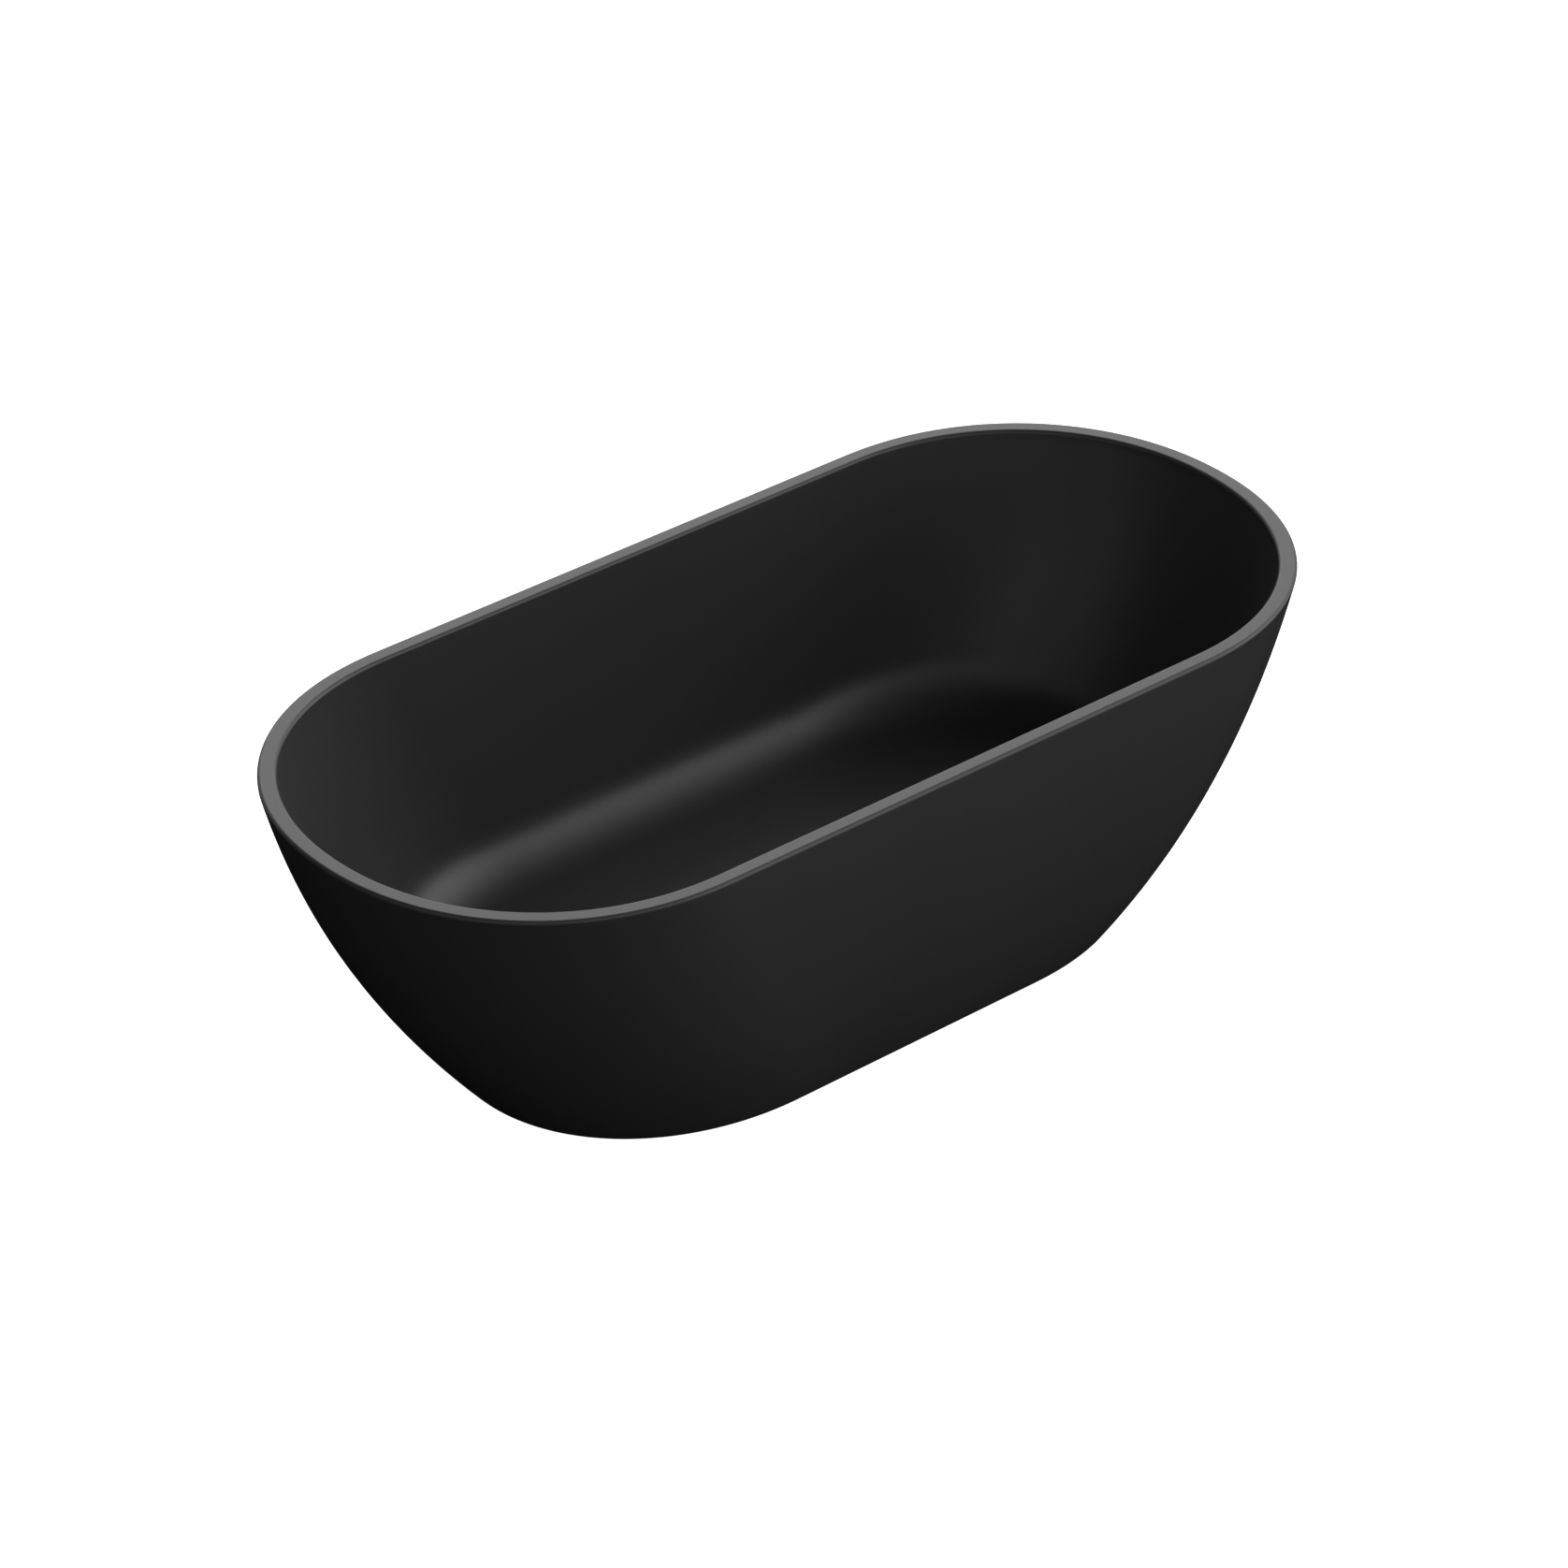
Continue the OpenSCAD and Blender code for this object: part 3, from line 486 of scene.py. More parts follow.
def mirror_round(quarter, side):
    """A whole ring from one quarter and the points of one straight side."""
    flipped = [(-x, y) for x, y in reversed(quarter)]
    top = quarter + side + flipped
    return top + [(-x, -y) for x, y in top][1:-1]


def ring(a, b, s, z):
    power = 2 / FULLNESS
    turns = [math.pi / 2 * i / CORNER_STEPS for i in range(CORNER_STEPS + 1)]
    quarter = [(s + (a - s) * max(0, math.cos(t)) ** power, b * math.sin(t) ** power)
               for t in turns]
    side = [(s - 2 * s * i / SIDE_STEPS, b) for i in range(1, SIDE_STEPS)]
    return [(x, y, z) for x, y in mirror_round(quarter, side)]


def round_ring(r, z):
    reach = math.pi / 2 - ROUND_SHARE
    turns = [reach * i / CORNER_STEPS for i in range(CORNER_STEPS + 1)]
    quarter = [(r * math.cos(t), r * math.sin(t)) for t in turns]
    across = [reach + 2 * ROUND_SHARE * i / SIDE_STEPS for i in range(1, SIDE_STEPS)]
    side = [(r * math.cos(t), r * math.sin(t)) for t in across]
    return [(x, y, z) for x, y in mirror_round(quarter, side)]


def skin_ring(z, inset=0.0):
    return ring(end_at(z, inset), side_at(z, inset), straight(z), z)


def basin_ring(z, grow=0.0):
    return ring(basin_half(end_at, end_meet, z, grow), basin_half(side_at, side_meet, z, grow),
                straight(z), z)


def between(ring_a, ring_b, share):
    """A ring that lies a share of the way from one ring to another."""
    return [tuple(p + (q - p) * share for p, q in zip(one, two))
            for one, two in zip(ring_a, ring_b)]


def steps(start, stop, count):
    return [start + (stop - start) * i / count for i in range(count + 1)]


print("points in a ring:", len(round_ring(1, 0)))

# %% [markdown]
# Rings are joined into a closed loop of faces with bmesh. Edges sharper than 32 degrees are
# kept crisp and everything else is shaded smooth. Each new piece rides on the body that its
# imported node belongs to, replaces that node, and takes the same finish.

# %% Piece makers
SHARP = math.radians(32)


def finish_piece(name, mesh, body, replaced):
    """Put a mesh in the scene as the stand-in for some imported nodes."""
    slot = node_finish[replaced[0]]
    mesh.materials.clear()
    mesh.materials.append(finishes[slot])
    mesh.shade_smooth()
    mesh.set_sharp_from_angle(angle=SHARP)
    piece = bpy.data.objects.new(name, mesh)
    scene.collection.objects.link(piece)
    if body:
        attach(piece, body)
    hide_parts(*replaced)
    print("  ", name, len(mesh.polygons), "faces")
    return piece


def mesh_from(name, points, faces):
    """A mesh with every face turned outwards."""
    build = bmesh.new()
    corners = [build.verts.new(point) for point in points]
    for face in faces:
        build.faces.new([corners[i] for i in face])
    bmesh.ops.recalc_face_normals(build, faces=build.faces)
    mesh = bpy.data.meshes.new(name)
    build.to_mesh(mesh)
    build.free()
    return mesh


def loop_mesh(name, rings):
    """Join rings, and the last ring to the first."""
    count, size = len(rings), len(rings[0])
    faces = []
    for k in range(count):
        low, high = k * size, (k + 1) % count * size
        for i in range(size):
            j = (i + 1) % size
            faces.append((low + i, low + j, high + j, high + i))
    return mesh_from(name, [point for one in rings for point in one], faces)


print("piece makers ready")

# %% [markdown]
# ## The basin
# The inner skin is one pressed sheet: rim plate, bathing wall, fillet and floor. Its rings
# start at the waste hole, run out under the floor and up the hidden side, cross the rim and
# come back down the bathing side. Rows are closest where the surface turns fastest.

# %% Basin rings
FLANGE_R, RECESS, HOLE_R, LAND_R = 36 * MM, 3 * MM, 24.5 * MM, 48 * MM
FILLET_SWEEP = 80
floor_low = FLOOR_Z - FLOOR_FALL
under_low = floor_low - BASIN_WALL


def fillet_rows(radius, count=16):
    """Heights of rows on the fillet, at even turns from its foot up to its sweep in degrees."""
    return [fillet_z - radius * math.cos(math.radians(a)) for a in steps(0, FILLET_SWEEP, count)]


def hidden_side():
    rows = fillet_rows(FILLET + BASIN_WALL)
    rows += steps(rows[-1], lip_z, 30)[1:]
    inner_floor = basin_ring(rows[0], BASIN_WALL)
    under = [(x * 0.985, y * 0.975, under_low) for x, y, _ in inner_floor]
    hole = round_ring(HOLE_R, under_low)
    floor_rings = [between(hole, under, s) for s in (0, 0.05, 0.3, 0.65, 1)]
    return floor_rings + [basin_ring(z, BASIN_WALL) for z in rows]


def rim_rings():
    start = -math.degrees(END_LEANS[0])
    outer = [skin_ring(edge_z + EDGE * math.sin(math.radians(a))) for a in steps(start, 90, 16)]
    end, side = end_at(edge_z, RIM_WIDTH) + EDGE, side_at(edge_z, RIM_WIDTH) + EDGE
    inner = []
    for angle in steps(90, 0, 12):
        turn = math.radians(angle)
        back, z = EDGE * math.cos(turn), edge_z + EDGE * math.sin(turn)
        inner.append(ring(end - back, side - back, straight(z), z))
    flat = [between(outer[-1], inner[0], s) for s in (0.05, 0.35, 0.65, 0.95)]
    return [skin_ring(lip_z)] + outer + flat + inner


def bathing_side():
    fillet = fillet_rows(FILLET, 20)[::-1]
    rows = steps(edge_z, fillet[0], 32)[1:] + fillet[1:]
    walls = [basin_ring(z) for z in rows]
    land = round_ring(LAND_R, floor_low)
    floor_rings = [between(walls[-1], land, s) for s in (0.04, 0.14, 0.3, 0.5, 0.7, 0.86, 0.96)]
    waste = [(LAND_R, 0), (FLANGE_R + 0.8 * MM, 0), (FLANGE_R + 0.2 * MM, -0.2 * MM),
             (FLANGE_R, -0.8 * MM), (FLANGE_R, -RECESS), (HOLE_R, -RECESS)]
    return walls + floor_rings + [round_ring(r, floor_low + dz) for r, dz in waste]


basin_rings = hidden_side() + rim_rings() + bathing_side()
print("basin rows", len(basin_rings))

# %% [markdown]
# The overflow slot is cut through the wall afterwards. A Boolean modifier is the quickest
# way to cut a hole in a curved skin, and the cover hides its edge.

# %% Cut the slot and place the basin
OVERFLOW_Z = height - 70 * MM
OVERFLOW_SIZE = (60 * MM, 40 * MM, 9 * MM)


def overflow_frame():
    """Axes on the bathing face at the slot: X along the tub, Y out of it, Z up the wall."""
    slope = (side_at(OVERFLOW_Z + MM) - side_at(OVERFLOW_Z - MM)) / (2 * MM)
    at = Vector((0, -side_at(OVERFLOW_Z, RIM_WIDTH), OVERFLOW_Z))
    return Matrix.Translation(at) @ Matrix.Rotation(math.atan(slope), 4, "X") \
        @ Matrix.Diagonal((1, -1, 1, 1))


def block_mesh(name, size, matrix):
    build = bmesh.new()
    bmesh.ops.create_cube(build, size=1, matrix=matrix @ Matrix.Diagonal((*size, 1)))
    bmesh.ops.recalc_face_normals(build, faces=build.faces)
    mesh = bpy.data.meshes.new(name)
    build.to_mesh(mesh)
    build.free()
    return mesh


def combined(operation, mesh, others, name):
    """Join other meshes to a mesh (UNION) or take them away from it (DIFFERENCE)."""
    body = bpy.data.objects.new("combined_body", mesh)
    tools = [bpy.data.objects.new("combined_tool", other) for other in others]
    for helper in [body, *tools]:
        scene.collection.objects.link(helper)
    for tool in tools:
        modifier = body.modifiers.new("combined", "BOOLEAN")
        modifier.operation, modifier.object, modifier.solver = operation, tool, "EXACT"
    graph = bpy.context.evaluated_depsgraph_get()
    result = bpy.data.meshes.new_from_object(body.evaluated_get(graph))
    result.name = name
    for helper in [body, *tools]:
        bpy.data.objects.remove(helper)
    return result


slot_cutter = block_mesh("slot", OVERFLOW_SIZE, overflow_frame())
basin_mesh = combined("DIFFERENCE", loop_mesh("basin_raw", basin_rings), [slot_cutter], "basin")
finish_piece("basin", basin_mesh, "tub", ["inner_basin"])

# %% [markdown]
# ## The outer skin and the glue line
# The outer skin is a second sheet that starts under the rim plate and stands on the floor,
# where it turns inwards as a narrow flange. Its lip at the top is bonded to the rim plate by
# a line of black adhesive that is sanded flush, so no step shows between the two skins.

# %% Skirt and glue line
FOOT_FLANGE, FOOT_T = 28 * MM, 6 * MM


def skirt_rings():
    foot = [skin_ring(0, 1.2 * MM), skin_ring(0.4 * MM, 0.3 * MM), skin_ring(1.4 * MM)]
    outer = [skin_ring(z) for z in steps(1.4 * MM, skirt_z, 44)[1:]]
    lip = [skin_ring(skirt_z, LIP), skin_ring(skirt_z - SKIRT_WALL, LIP)]
    inner = [skin_ring(z, SKIRT_WALL) for z in steps(skirt_z - SKIRT_WALL, FOOT_T, 40)]
    edge = skin_ring(FOOT_T, SKIRT_WALL + FOOT_FLANGE)
    return foot + outer + lip + inner + [edge, [(x, y, 0) for x, y, _ in edge]]


finish_piece("skirt", loop_mesh("skirt", skirt_rings()), "tub", ["outer_skirt"])
glue_rings = [skin_ring(skirt_z), skin_ring(lip_z), skin_ring(lip_z, LIP), skin_ring(skirt_z, LIP)]
finish_piece("glue_line", loop_mesh("glue_line", glue_rings), "tub", ["rim_bond"])

# %% [markdown]
# ## Turned and threaded forms
# Bolts, nuts, feet and the waste are all turned on a lathe or look as if they were. One
# helper spins a list of heights and radii round Z. A radius may also be a function of the
# angle, which turns the same helper into a maker of hexagons, square tubes and threads.

# %% Turning


def turned(rows, segments=48, closed=False):
    """Points and faces of rows of (height, radius) spun round Z."""
    points, faces, loops = [], [], []
    for z, radius in rows:
        if radius == 0:
            loops.append([len(points)])
            points.append((0, 0, z))
            continue
        loops.append(range(len(points), len(points) + segments))
        for i in range(segments):
            turn = 2 * math.pi * i / segments
            r = radius(turn) if callable(radius) else radius
            points.append((r * math.cos(turn), r * math.sin(turn), z))
    for low, high in zip(loops, loops[1:] + ([loops[0]] if closed else [])):
        for i in range(segments):
            j = (i + 1) % segments
            corners = [low[i % len(low)], low[j % len(low)],
                       high[j % len(high)], high[i % len(high)]]
            face = list(dict.fromkeys(corners))
            if len(face) > 2:
                faces.append(face)
    return points, faces


def merged(name, forms):
    """One mesh out of several (form, matrix) pairs."""
    points, faces = [], []
    for (form_points, form_faces), matrix in forms:
        start = len(points)
        points += [matrix @ Vector(point) for point in form_points]
        faces += [[start + i for i in face] for face in form_faces]
    return mesh_from(name, points, faces)


def hexagon(flats, limit=1.0):
    """Radius of a hexagon at an angle, cut back to a circle."""
    return lambda turn: min(flats / 2 / math.cos(turn % (math.pi / 3) - math.pi / 6), limit)


def squared(width, depth, fullness=10):
    """Radius of a rectangle with rounded corners."""
    return lambda turn: ((abs(math.cos(turn)) * 2 / width) ** fullness
                         + (abs(math.sin(turn)) * 2 / depth) ** fullness) ** (-1 / fullness)


def thread(start, stop, crest, depth, pitch):
    """Rows of a right-hand thread that fades out over one turn at both ends."""
    rows = []
    for z in steps(start, stop, round((stop - start) / pitch * 6)):
        fade = max(0.0, min(1.0, (z - start) / pitch, (stop - z) / pitch))

        def radius(turn, z=z, fade=fade):
            phase = (z / pitch - turn / (2 * math.pi)) % 1
            return crest - depth * fade * min(1.0, max(0.0, 1.25 * abs(2 * phase - 1) - 0.1))

        rows.append((z, radius))
    return rows


def rounded(centre_z, centre_r, bend, start, stop, count):
    """Rows of a rounded edge. The angle is 0 where the edge faces out and 90 where it faces up."""
    turns = [math.radians(angle) for angle in steps(start, stop, count)]
    return [(centre_z + bend * math.sin(t), centre_r + bend * math.cos(t)) for t in turns]


def at(x, y, z=0.0):
    return Matrix.Translation((x, y, z))


def alone(name, form):
    return merged(name, [(form, Matrix.Identity(4))])


def copies(name, form, places, node):
    """The same form at several places, as one piece."""
    return finish_piece(name, merged(name, [(form, place) for place in places]), "tub", [node])


def middle(node):
    low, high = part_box(node)
    return (low + high) / 2


print("turning helpers ready")

# %% [markdown]
# A nut's corners are cut back by a shallow cone at both faces, which leaves the curved
# bright edges that every nut has. A screw head gets a cross-shaped recess for the driver.

# %% Nuts, heads and recesses


def nut_rows(low, high, flats, bore):
    cut_back = [(0, 0.5), (0.05, 0.527), (0.1, 0.553)]
    rows = [(low, bore + 0.6 * MM)]
    rows += [(low + flats * dz, hexagon(flats, flats * share)) for dz, share in cut_back]
    rows.append((low + flats * 0.16, hexagon(flats)))
    rows.append((high - flats * 0.16, hexagon(flats)))
    rows += [(high - flats * dz, hexagon(flats, flats * share)) for dz, share in reversed(cut_back)]
    return rows + [(high, bore + 0.6 * MM), (high - 0.6 * MM, bore), (low + 0.6 * MM, bore)]


def head_rows(low, high, flats):
    """A hexagon head whose outer face is at its low end."""
    return [(low, 0), (low, flats * 0.44), (low + 0.2 * MM, hexagon(flats, flats * 0.485)),
            (low + flats * 0.06, hexagon(flats, flats * 0.53)),
            (low + flats * 0.13, hexagon(flats)), (high, hexagon(flats))]


def cross(arm, half_width):
    """Radius of a cross-shaped recess at an angle."""
    def radius(turn):
        across = abs(math.sin((turn + math.pi / 4) % (math.pi / 2) - math.pi / 4))
        return min(arm, half_width / max(across, 1e-6))
    return radius


def recess_rows(face, deep, arm):
    """Rows from the bottom of a cross recess out to its mouth."""
    return [(face + deep, 0), (face + deep, cross(arm * 0.45, arm * 0.16)),
            (face, cross(arm, arm * 0.3))]


print("nut and head helpers ready")

# %% [markdown]
# ## Board and frame
# A board bonded under the floor spreads the load of the water, and a frame of square steel
# tube carries it. Drawn tube has rounded corners, so its section is a rounded square that is
# stretched along the bar. The access holes under the screws are cut in afterwards.

# %% Board
BOARD_HOLE = 45 * MM


def board_ring(high, inset, z):
    """One ring of the board: straight sides with half-round ends."""
    r = high.y - inset
    straight_half = high.x - high.y
    return [(x + (straight_half if x > 1e-9 else -straight_half if x < -1e-9 else 0), y, z)
            for x, y, z in round_ring(r, z)]


def make_board():
    low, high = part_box("base_board")
    edge = 1.5 * MM
    sides = [(edge, low.z), (0.4 * MM, low.z + 0.4 * MM), (0, low.z + edge),
             (0, high.z - edge), (edge, high.z)]
    rings = [round_ring(BOARD_HOLE, low.z), *(board_ring(high, *side) for side in sides),
             round_ring(BOARD_HOLE, high.z)]
    return finish_piece("board", loop_mesh("board", rings), "tub", ["base_board"])


make_board()

# %% [markdown]
# The rails and the cross bars are closed rings of four rows: out along the outer face and
# back along the inner one. Round posts are taken away from them where a screw or a stud
# passes through, and the edge of each hole shows how thin the wall is.

# %% Square tubes
TUBE_WALL = 2 * MM
SCREW_ACCESS, STUD_HOLE = 6 * MM, 6.5 * MM


def tube_form(length, width, depth):
    outer, inner = squared(width, depth), squared(width - 2 * TUBE_WALL, depth - 2 * TUBE_WALL)
    half = length / 2
    rows = [(-half, outer), (half, outer), (half, inner), (-half, inner)]
    return turned(rows, 96, closed=True)


def post_form(radius, low, high, segments=32):
    return turned([(low, 0), (low, radius), (high, radius), (high, 0)], segments)


def make_tube(node, turn_to, holes):
    low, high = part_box(node)
    size = high - low
    centre = (low + high) / 2
    form = tube_form(max(size), min(size.x, size.y), size.z)
    tube = merged(node, [(form, Matrix.Translation(centre) @ turn_to)])
    tools = [merged("hole", [(post_form(r, bottom, top), at(x, y))])
             for x, y, r, bottom, top in holes]
    return finish_piece(node + "_tube", combined("DIFFERENCE", tube, tools, node), "tub", [node])


along_x = Matrix.Rotation(math.pi / 2, 4, "Y") @ Matrix.Rotation(math.pi / 2, 4, "Z")
along_y = Matrix.Rotation(-math.pi / 2, 4, "X")
screw_xs = [-0.425, -0.160, 0.160, 0.425]
for node in ("rail_front", "rail_back"):
    y, low_z = middle(node).y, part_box(node)[0].z
    access = [(x, y, SCREW_ACCESS, low_z - MM, low_z + 3 * MM) for x in screw_xs]
    make_tube(node, along_x, access)
foot_x, foot_y = middle("stud_right_back").x, middle("stud_right_back").y
for node in ("cross_bar_left", "cross_bar_right"):
    x, (low, high) = middle(node).x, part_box(node)
    make_tube(node, along_y, [(x, s * foot_y, STUD_HOLE, low.z - MM, high.z + MM) for s in (-1, 1)])

# %% [markdown]
# Plastic plugs close the tube ends. Each has a cap with a soft edge and a shallow dish, and
# a shorter block behind it that is pushed into the tube.

# %% Tube plugs


def plug_form(width, depth):
    cap, tail = 2.5 * MM, 10 * MM
    inside = squared(width - 2 * TUBE_WALL - 0.2 * MM, depth - 2 * TUBE_WALL - 0.2 * MM)
    rows = [(-tail, 0), (-tail, inside), (0, inside), (0, squared(width, depth)),
            (cap - 0.9 * MM, squared(width, depth)),
            (cap - 0.3 * MM, squared(width - 0.7 * MM, depth - 0.7 * MM)),
            (cap, squared(width - 2 * MM, depth - 2 * MM)),
            (cap, squared(width - 8 * MM, depth - 8 * MM)),
            (cap - 0.5 * MM, squared(width - 9 * MM, depth - 9 * MM)), (cap - 0.5 * MM, 0)]
    return turned(rows, 64)


def make_tube_plugs(node, tubes, axis):
    """One cap on each end of two tubes."""
    forms = []
    for tube in tubes:
        low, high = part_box(tube)
        size, centre = high - low, (low + high) / 2
        form = plug_form(min(size.x, size.y), size.z)
        for side in (-1, 1):
            end = centre.copy()
            end[axis] = high[axis] if side > 0 else low[axis]
            if axis == 0:
                upright = Matrix.Rotation(math.pi / 2, 4, "Z")
                way = Matrix.Rotation(side * math.pi / 2, 4, "Y") @ upright
            else:
                way = Matrix.Rotation(-side * math.pi / 2, 4, "X")
            forms.append((form, Matrix.Translation(end) @ way))
    return finish_piece(node + "_caps", merged(node, forms), "tub", [node])


make_tube_plugs("rail_plugs", ("rail_front", "rail_back"), 0)
make_tube_plugs("bar_plugs", ("cross_bar_left", "cross_bar_right"), 1)

# %% [markdown]
# ## Bolts, nuts and screws
# The threads are modelled, because from below the feet and bolts are the finest detail that
# shows. Each set of four or eight is one piece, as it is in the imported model.

# %% Bolts through bars and rails
corners = [(sx, sy) for sx in (-1, 1) for sy in (-1, 1)]
rail_y = middle("rail_back").y


def bolt_form(flats, head, radius, length, pitch):
    """A bolt that stands on its head, with a thread over its last half."""
    rows = head_rows(0, head, flats) + [(head, radius), (head + length * 0.45, radius)]
    rows += thread(head + length * 0.45, head + length - 0.8 * MM, radius, 0.55 * pitch, pitch)[1:]
    return turned(rows + [(head + length, radius * 0.84), (head + length, 0)], 36)


RAIL_FLATS, RAIL_HEAD, RAIL_BOLT_R, RAIL_PITCH = 13 * MM, 5 * MM, 4 * MM, 1.25 * MM
THREAD_ROOM = 0.05 * MM
low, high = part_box("rail_bolts")
form = bolt_form(RAIL_FLATS, RAIL_HEAD, RAIL_BOLT_R, high.z - low.z - RAIL_HEAD, RAIL_PITCH)
places = [at(sx * foot_x, sy * rail_y, low.z) for sx, sy in corners]
copies("rail_bolt_set", form, places, "rail_bolts")
low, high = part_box("rail_nuts")
form = turned(nut_rows(low.z, high.z, RAIL_FLATS, RAIL_BOLT_R + THREAD_ROOM), closed=True)
copies("rail_nut_set", form, [at(sx * foot_x, sy * rail_y) for sx, sy in corners], "rail_nuts")

# %% [markdown]
# The brackets are held by the same kind of bolt in a smaller size. It lies along the tub, so
# the upright form is turned on its side, once for each end of the tub.

# %% Bracket bolts and nuts
BRACKET_FLATS, BRACKET_HEAD, BRACKET_BOLT_R, BRACKET_NUT = 10 * MM, 4 * MM, 3 * MM, 5 * MM
low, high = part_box("bracket_bolts")
bolt_z, bolt_row = (low.z + high.z) / 2, high.y - BRACKET_FLATS / 2
bolt_start = min(abs(v.co.x) for v in frame["nodes"]["bracket_bolts"].data.vertices)
bolt_length = high.x - bolt_start - BRACKET_HEAD


def sideways(x):
    return [at(sx * x, sy * bolt_row, bolt_z) @ Matrix.Rotation(sx * math.pi / 2, 4, "Y")
            for sx, sy in corners]


form = bolt_form(BRACKET_FLATS, BRACKET_HEAD, BRACKET_BOLT_R, bolt_length, MM)
copies("bracket_bolt_set", form, sideways(bolt_start), "bracket_bolts")
form = turned(nut_rows(0, BRACKET_NUT, BRACKET_FLATS, BRACKET_BOLT_R + THREAD_ROOM), closed=True)
copies("bracket_nut_set", form, sideways(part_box("bracket_nuts")[1].x - BRACKET_NUT), "bracket_nuts")

# %% [markdown]
# Wood screws hold the rails to the board and the brackets to the foot of the outer skin.
# Their heads show from below, so each one has a driver's cross cut into a softly domed face.
# The coarse thread stops short of the point.

# %% Screws


def screw_form(low, head_r, head, shank_r, length, pitch):
    """A pan-head screw that points up, with a cross recess in its face."""
    rows = recess_rows(low, head * 0.6, head_r * 0.62)
    rows += [(low, head_r * 0.78), (low + head * 0.16, head_r * 0.93), (low + head * 0.4, head_r),
             (low + head, head_r), (low + head, shank_r * 0.8)]
    start = low + head + MM
    rows += thread(start, low + head + length * 0.8, shank_r, shank_r * 0.28, pitch)
    return turned(rows + [(low + head + length, 0.3 * MM), (low + head + length, 0)], 40)


BOARD_HEAD_R, BRACKET_HEAD_R, SCREW_HEAD = 5 * MM, 4.5 * MM, 3 * MM
SCREW_R, SCREW_PITCH = 2.5 * MM, 1.6 * MM
low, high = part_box("board_screws")
shank = high.z - low.z - SCREW_HEAD
form = screw_form(low.z, BOARD_HEAD_R, SCREW_HEAD, SCREW_R, shank, SCREW_PITCH)
places = [at(x, s * rail_y) for x in screw_xs for s in (-1, 1)]
copies("board_screw_set", form, places, "board_screws")
low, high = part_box("bracket_screws")
screw_x, screw_y = high.x - BRACKET_HEAD_R, high.y - BRACKET_HEAD_R
shank = high.z - low.z - SCREW_HEAD
form = screw_form(0, BRACKET_HEAD_R, SCREW_HEAD, SCREW_R, shank, SCREW_PITCH)
down = Matrix.Rotation(math.pi, 4, "X")
places = [at(sx * screw_x, sy * screw_y, high.z) @ down for sx, sy in corners]
copies("bracket_screw_set", form, places, "bracket_screws")

# %% [markdown]
# ## The feet
# Each foot is a threaded stud that turns in a welded nut, is held by a lock nut, and carries
# a plastic pad on its lower end. The pad has ribs round its edge to be gripped by hand. The
# stud and the pad ride on bodies of their own, because they move when the foot is set.

# %% Foot nuts
STUD_R, STUD_PITCH, FOOT_NUT = 6 * MM, 1.75 * MM, 19 * MM
foot_places = {("left_" if sx < 0 else "right_") + ("front" if sy < 0 else "back"):
               (sx * foot_x, sy * foot_y) for sx, sy in corners}
for node in ("weld_nuts", "lock_nuts"):
    low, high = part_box(node)
    form = turned(nut_rows(low.z, high.z, FOOT_NUT, STUD_R + THREAD_ROOM), closed=True)
    copies(node[:-1] + "_set", form, [at(x, y) for x, y in foot_places.values()], node)

# %% [markdown]
# A stud has a round collar that sits in the pad, a hexagon for the spanner and a long thread.
# Everything but the hexagon and the thread is a plain turned row.

# %% Studs


def stud_form(low, high):
    flats = 17 * MM
    collar = [(low, 0), (low, 9 * MM), (low + 0.4 * MM, 9.7 * MM), (low + MM, 10 * MM),
              (low + 3.3 * MM, 10 * MM), (low + 3.7 * MM, 9.6 * MM), (low + 3.7 * MM, STUD_R)]
    hex_low, hex_high = low + 7.2 * MM, low + 14.2 * MM
    grip = [(hex_low, STUD_R), (hex_low, hexagon(flats, 0.49 * flats)),
            (hex_low + 0.8 * MM, hexagon(flats, 0.54 * flats)),
            (hex_low + 1.8 * MM, hexagon(flats)), (hex_high - 1.8 * MM, hexagon(flats)),
            (hex_high - 0.8 * MM, hexagon(flats, 0.54 * flats)),
            (hex_high, hexagon(flats, 0.49 * flats)), (hex_high, STUD_R * 0.86)]
    top = thread(hex_high + MM, high - MM, STUD_R, 0.55 * STUD_PITCH, STUD_PITCH)
    return turned(collar + grip + top + [(high, STUD_R - 1.1 * MM), (high, 0)], 36)


for foot, (x, y) in foot_places.items():
    low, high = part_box("stud_" + foot)
    mesh = merged("stud", [(stud_form(low.z, high.z), at(x, y))])
    finish_piece("threaded_stud_" + foot, mesh, f"stud_{foot}_body", ["stud_" + foot])

# %% [markdown]
# The pad is one turned form. Its rim is a radius that rises and falls 24 times round the
# circle, which gives the finger grooves without any cutting. The hollow in its top holds the
# stud's collar with a little play, so the pad can swivel.

# %% Pads
PAD_R, PAD_RIBS = 27 * MM, 24


def ribbed(radius, depth):
    """A radius with finger grooves round it."""
    return lambda turn: radius - depth * (0.5 - 0.5 * math.cos(PAD_RIBS * turn)) ** 2


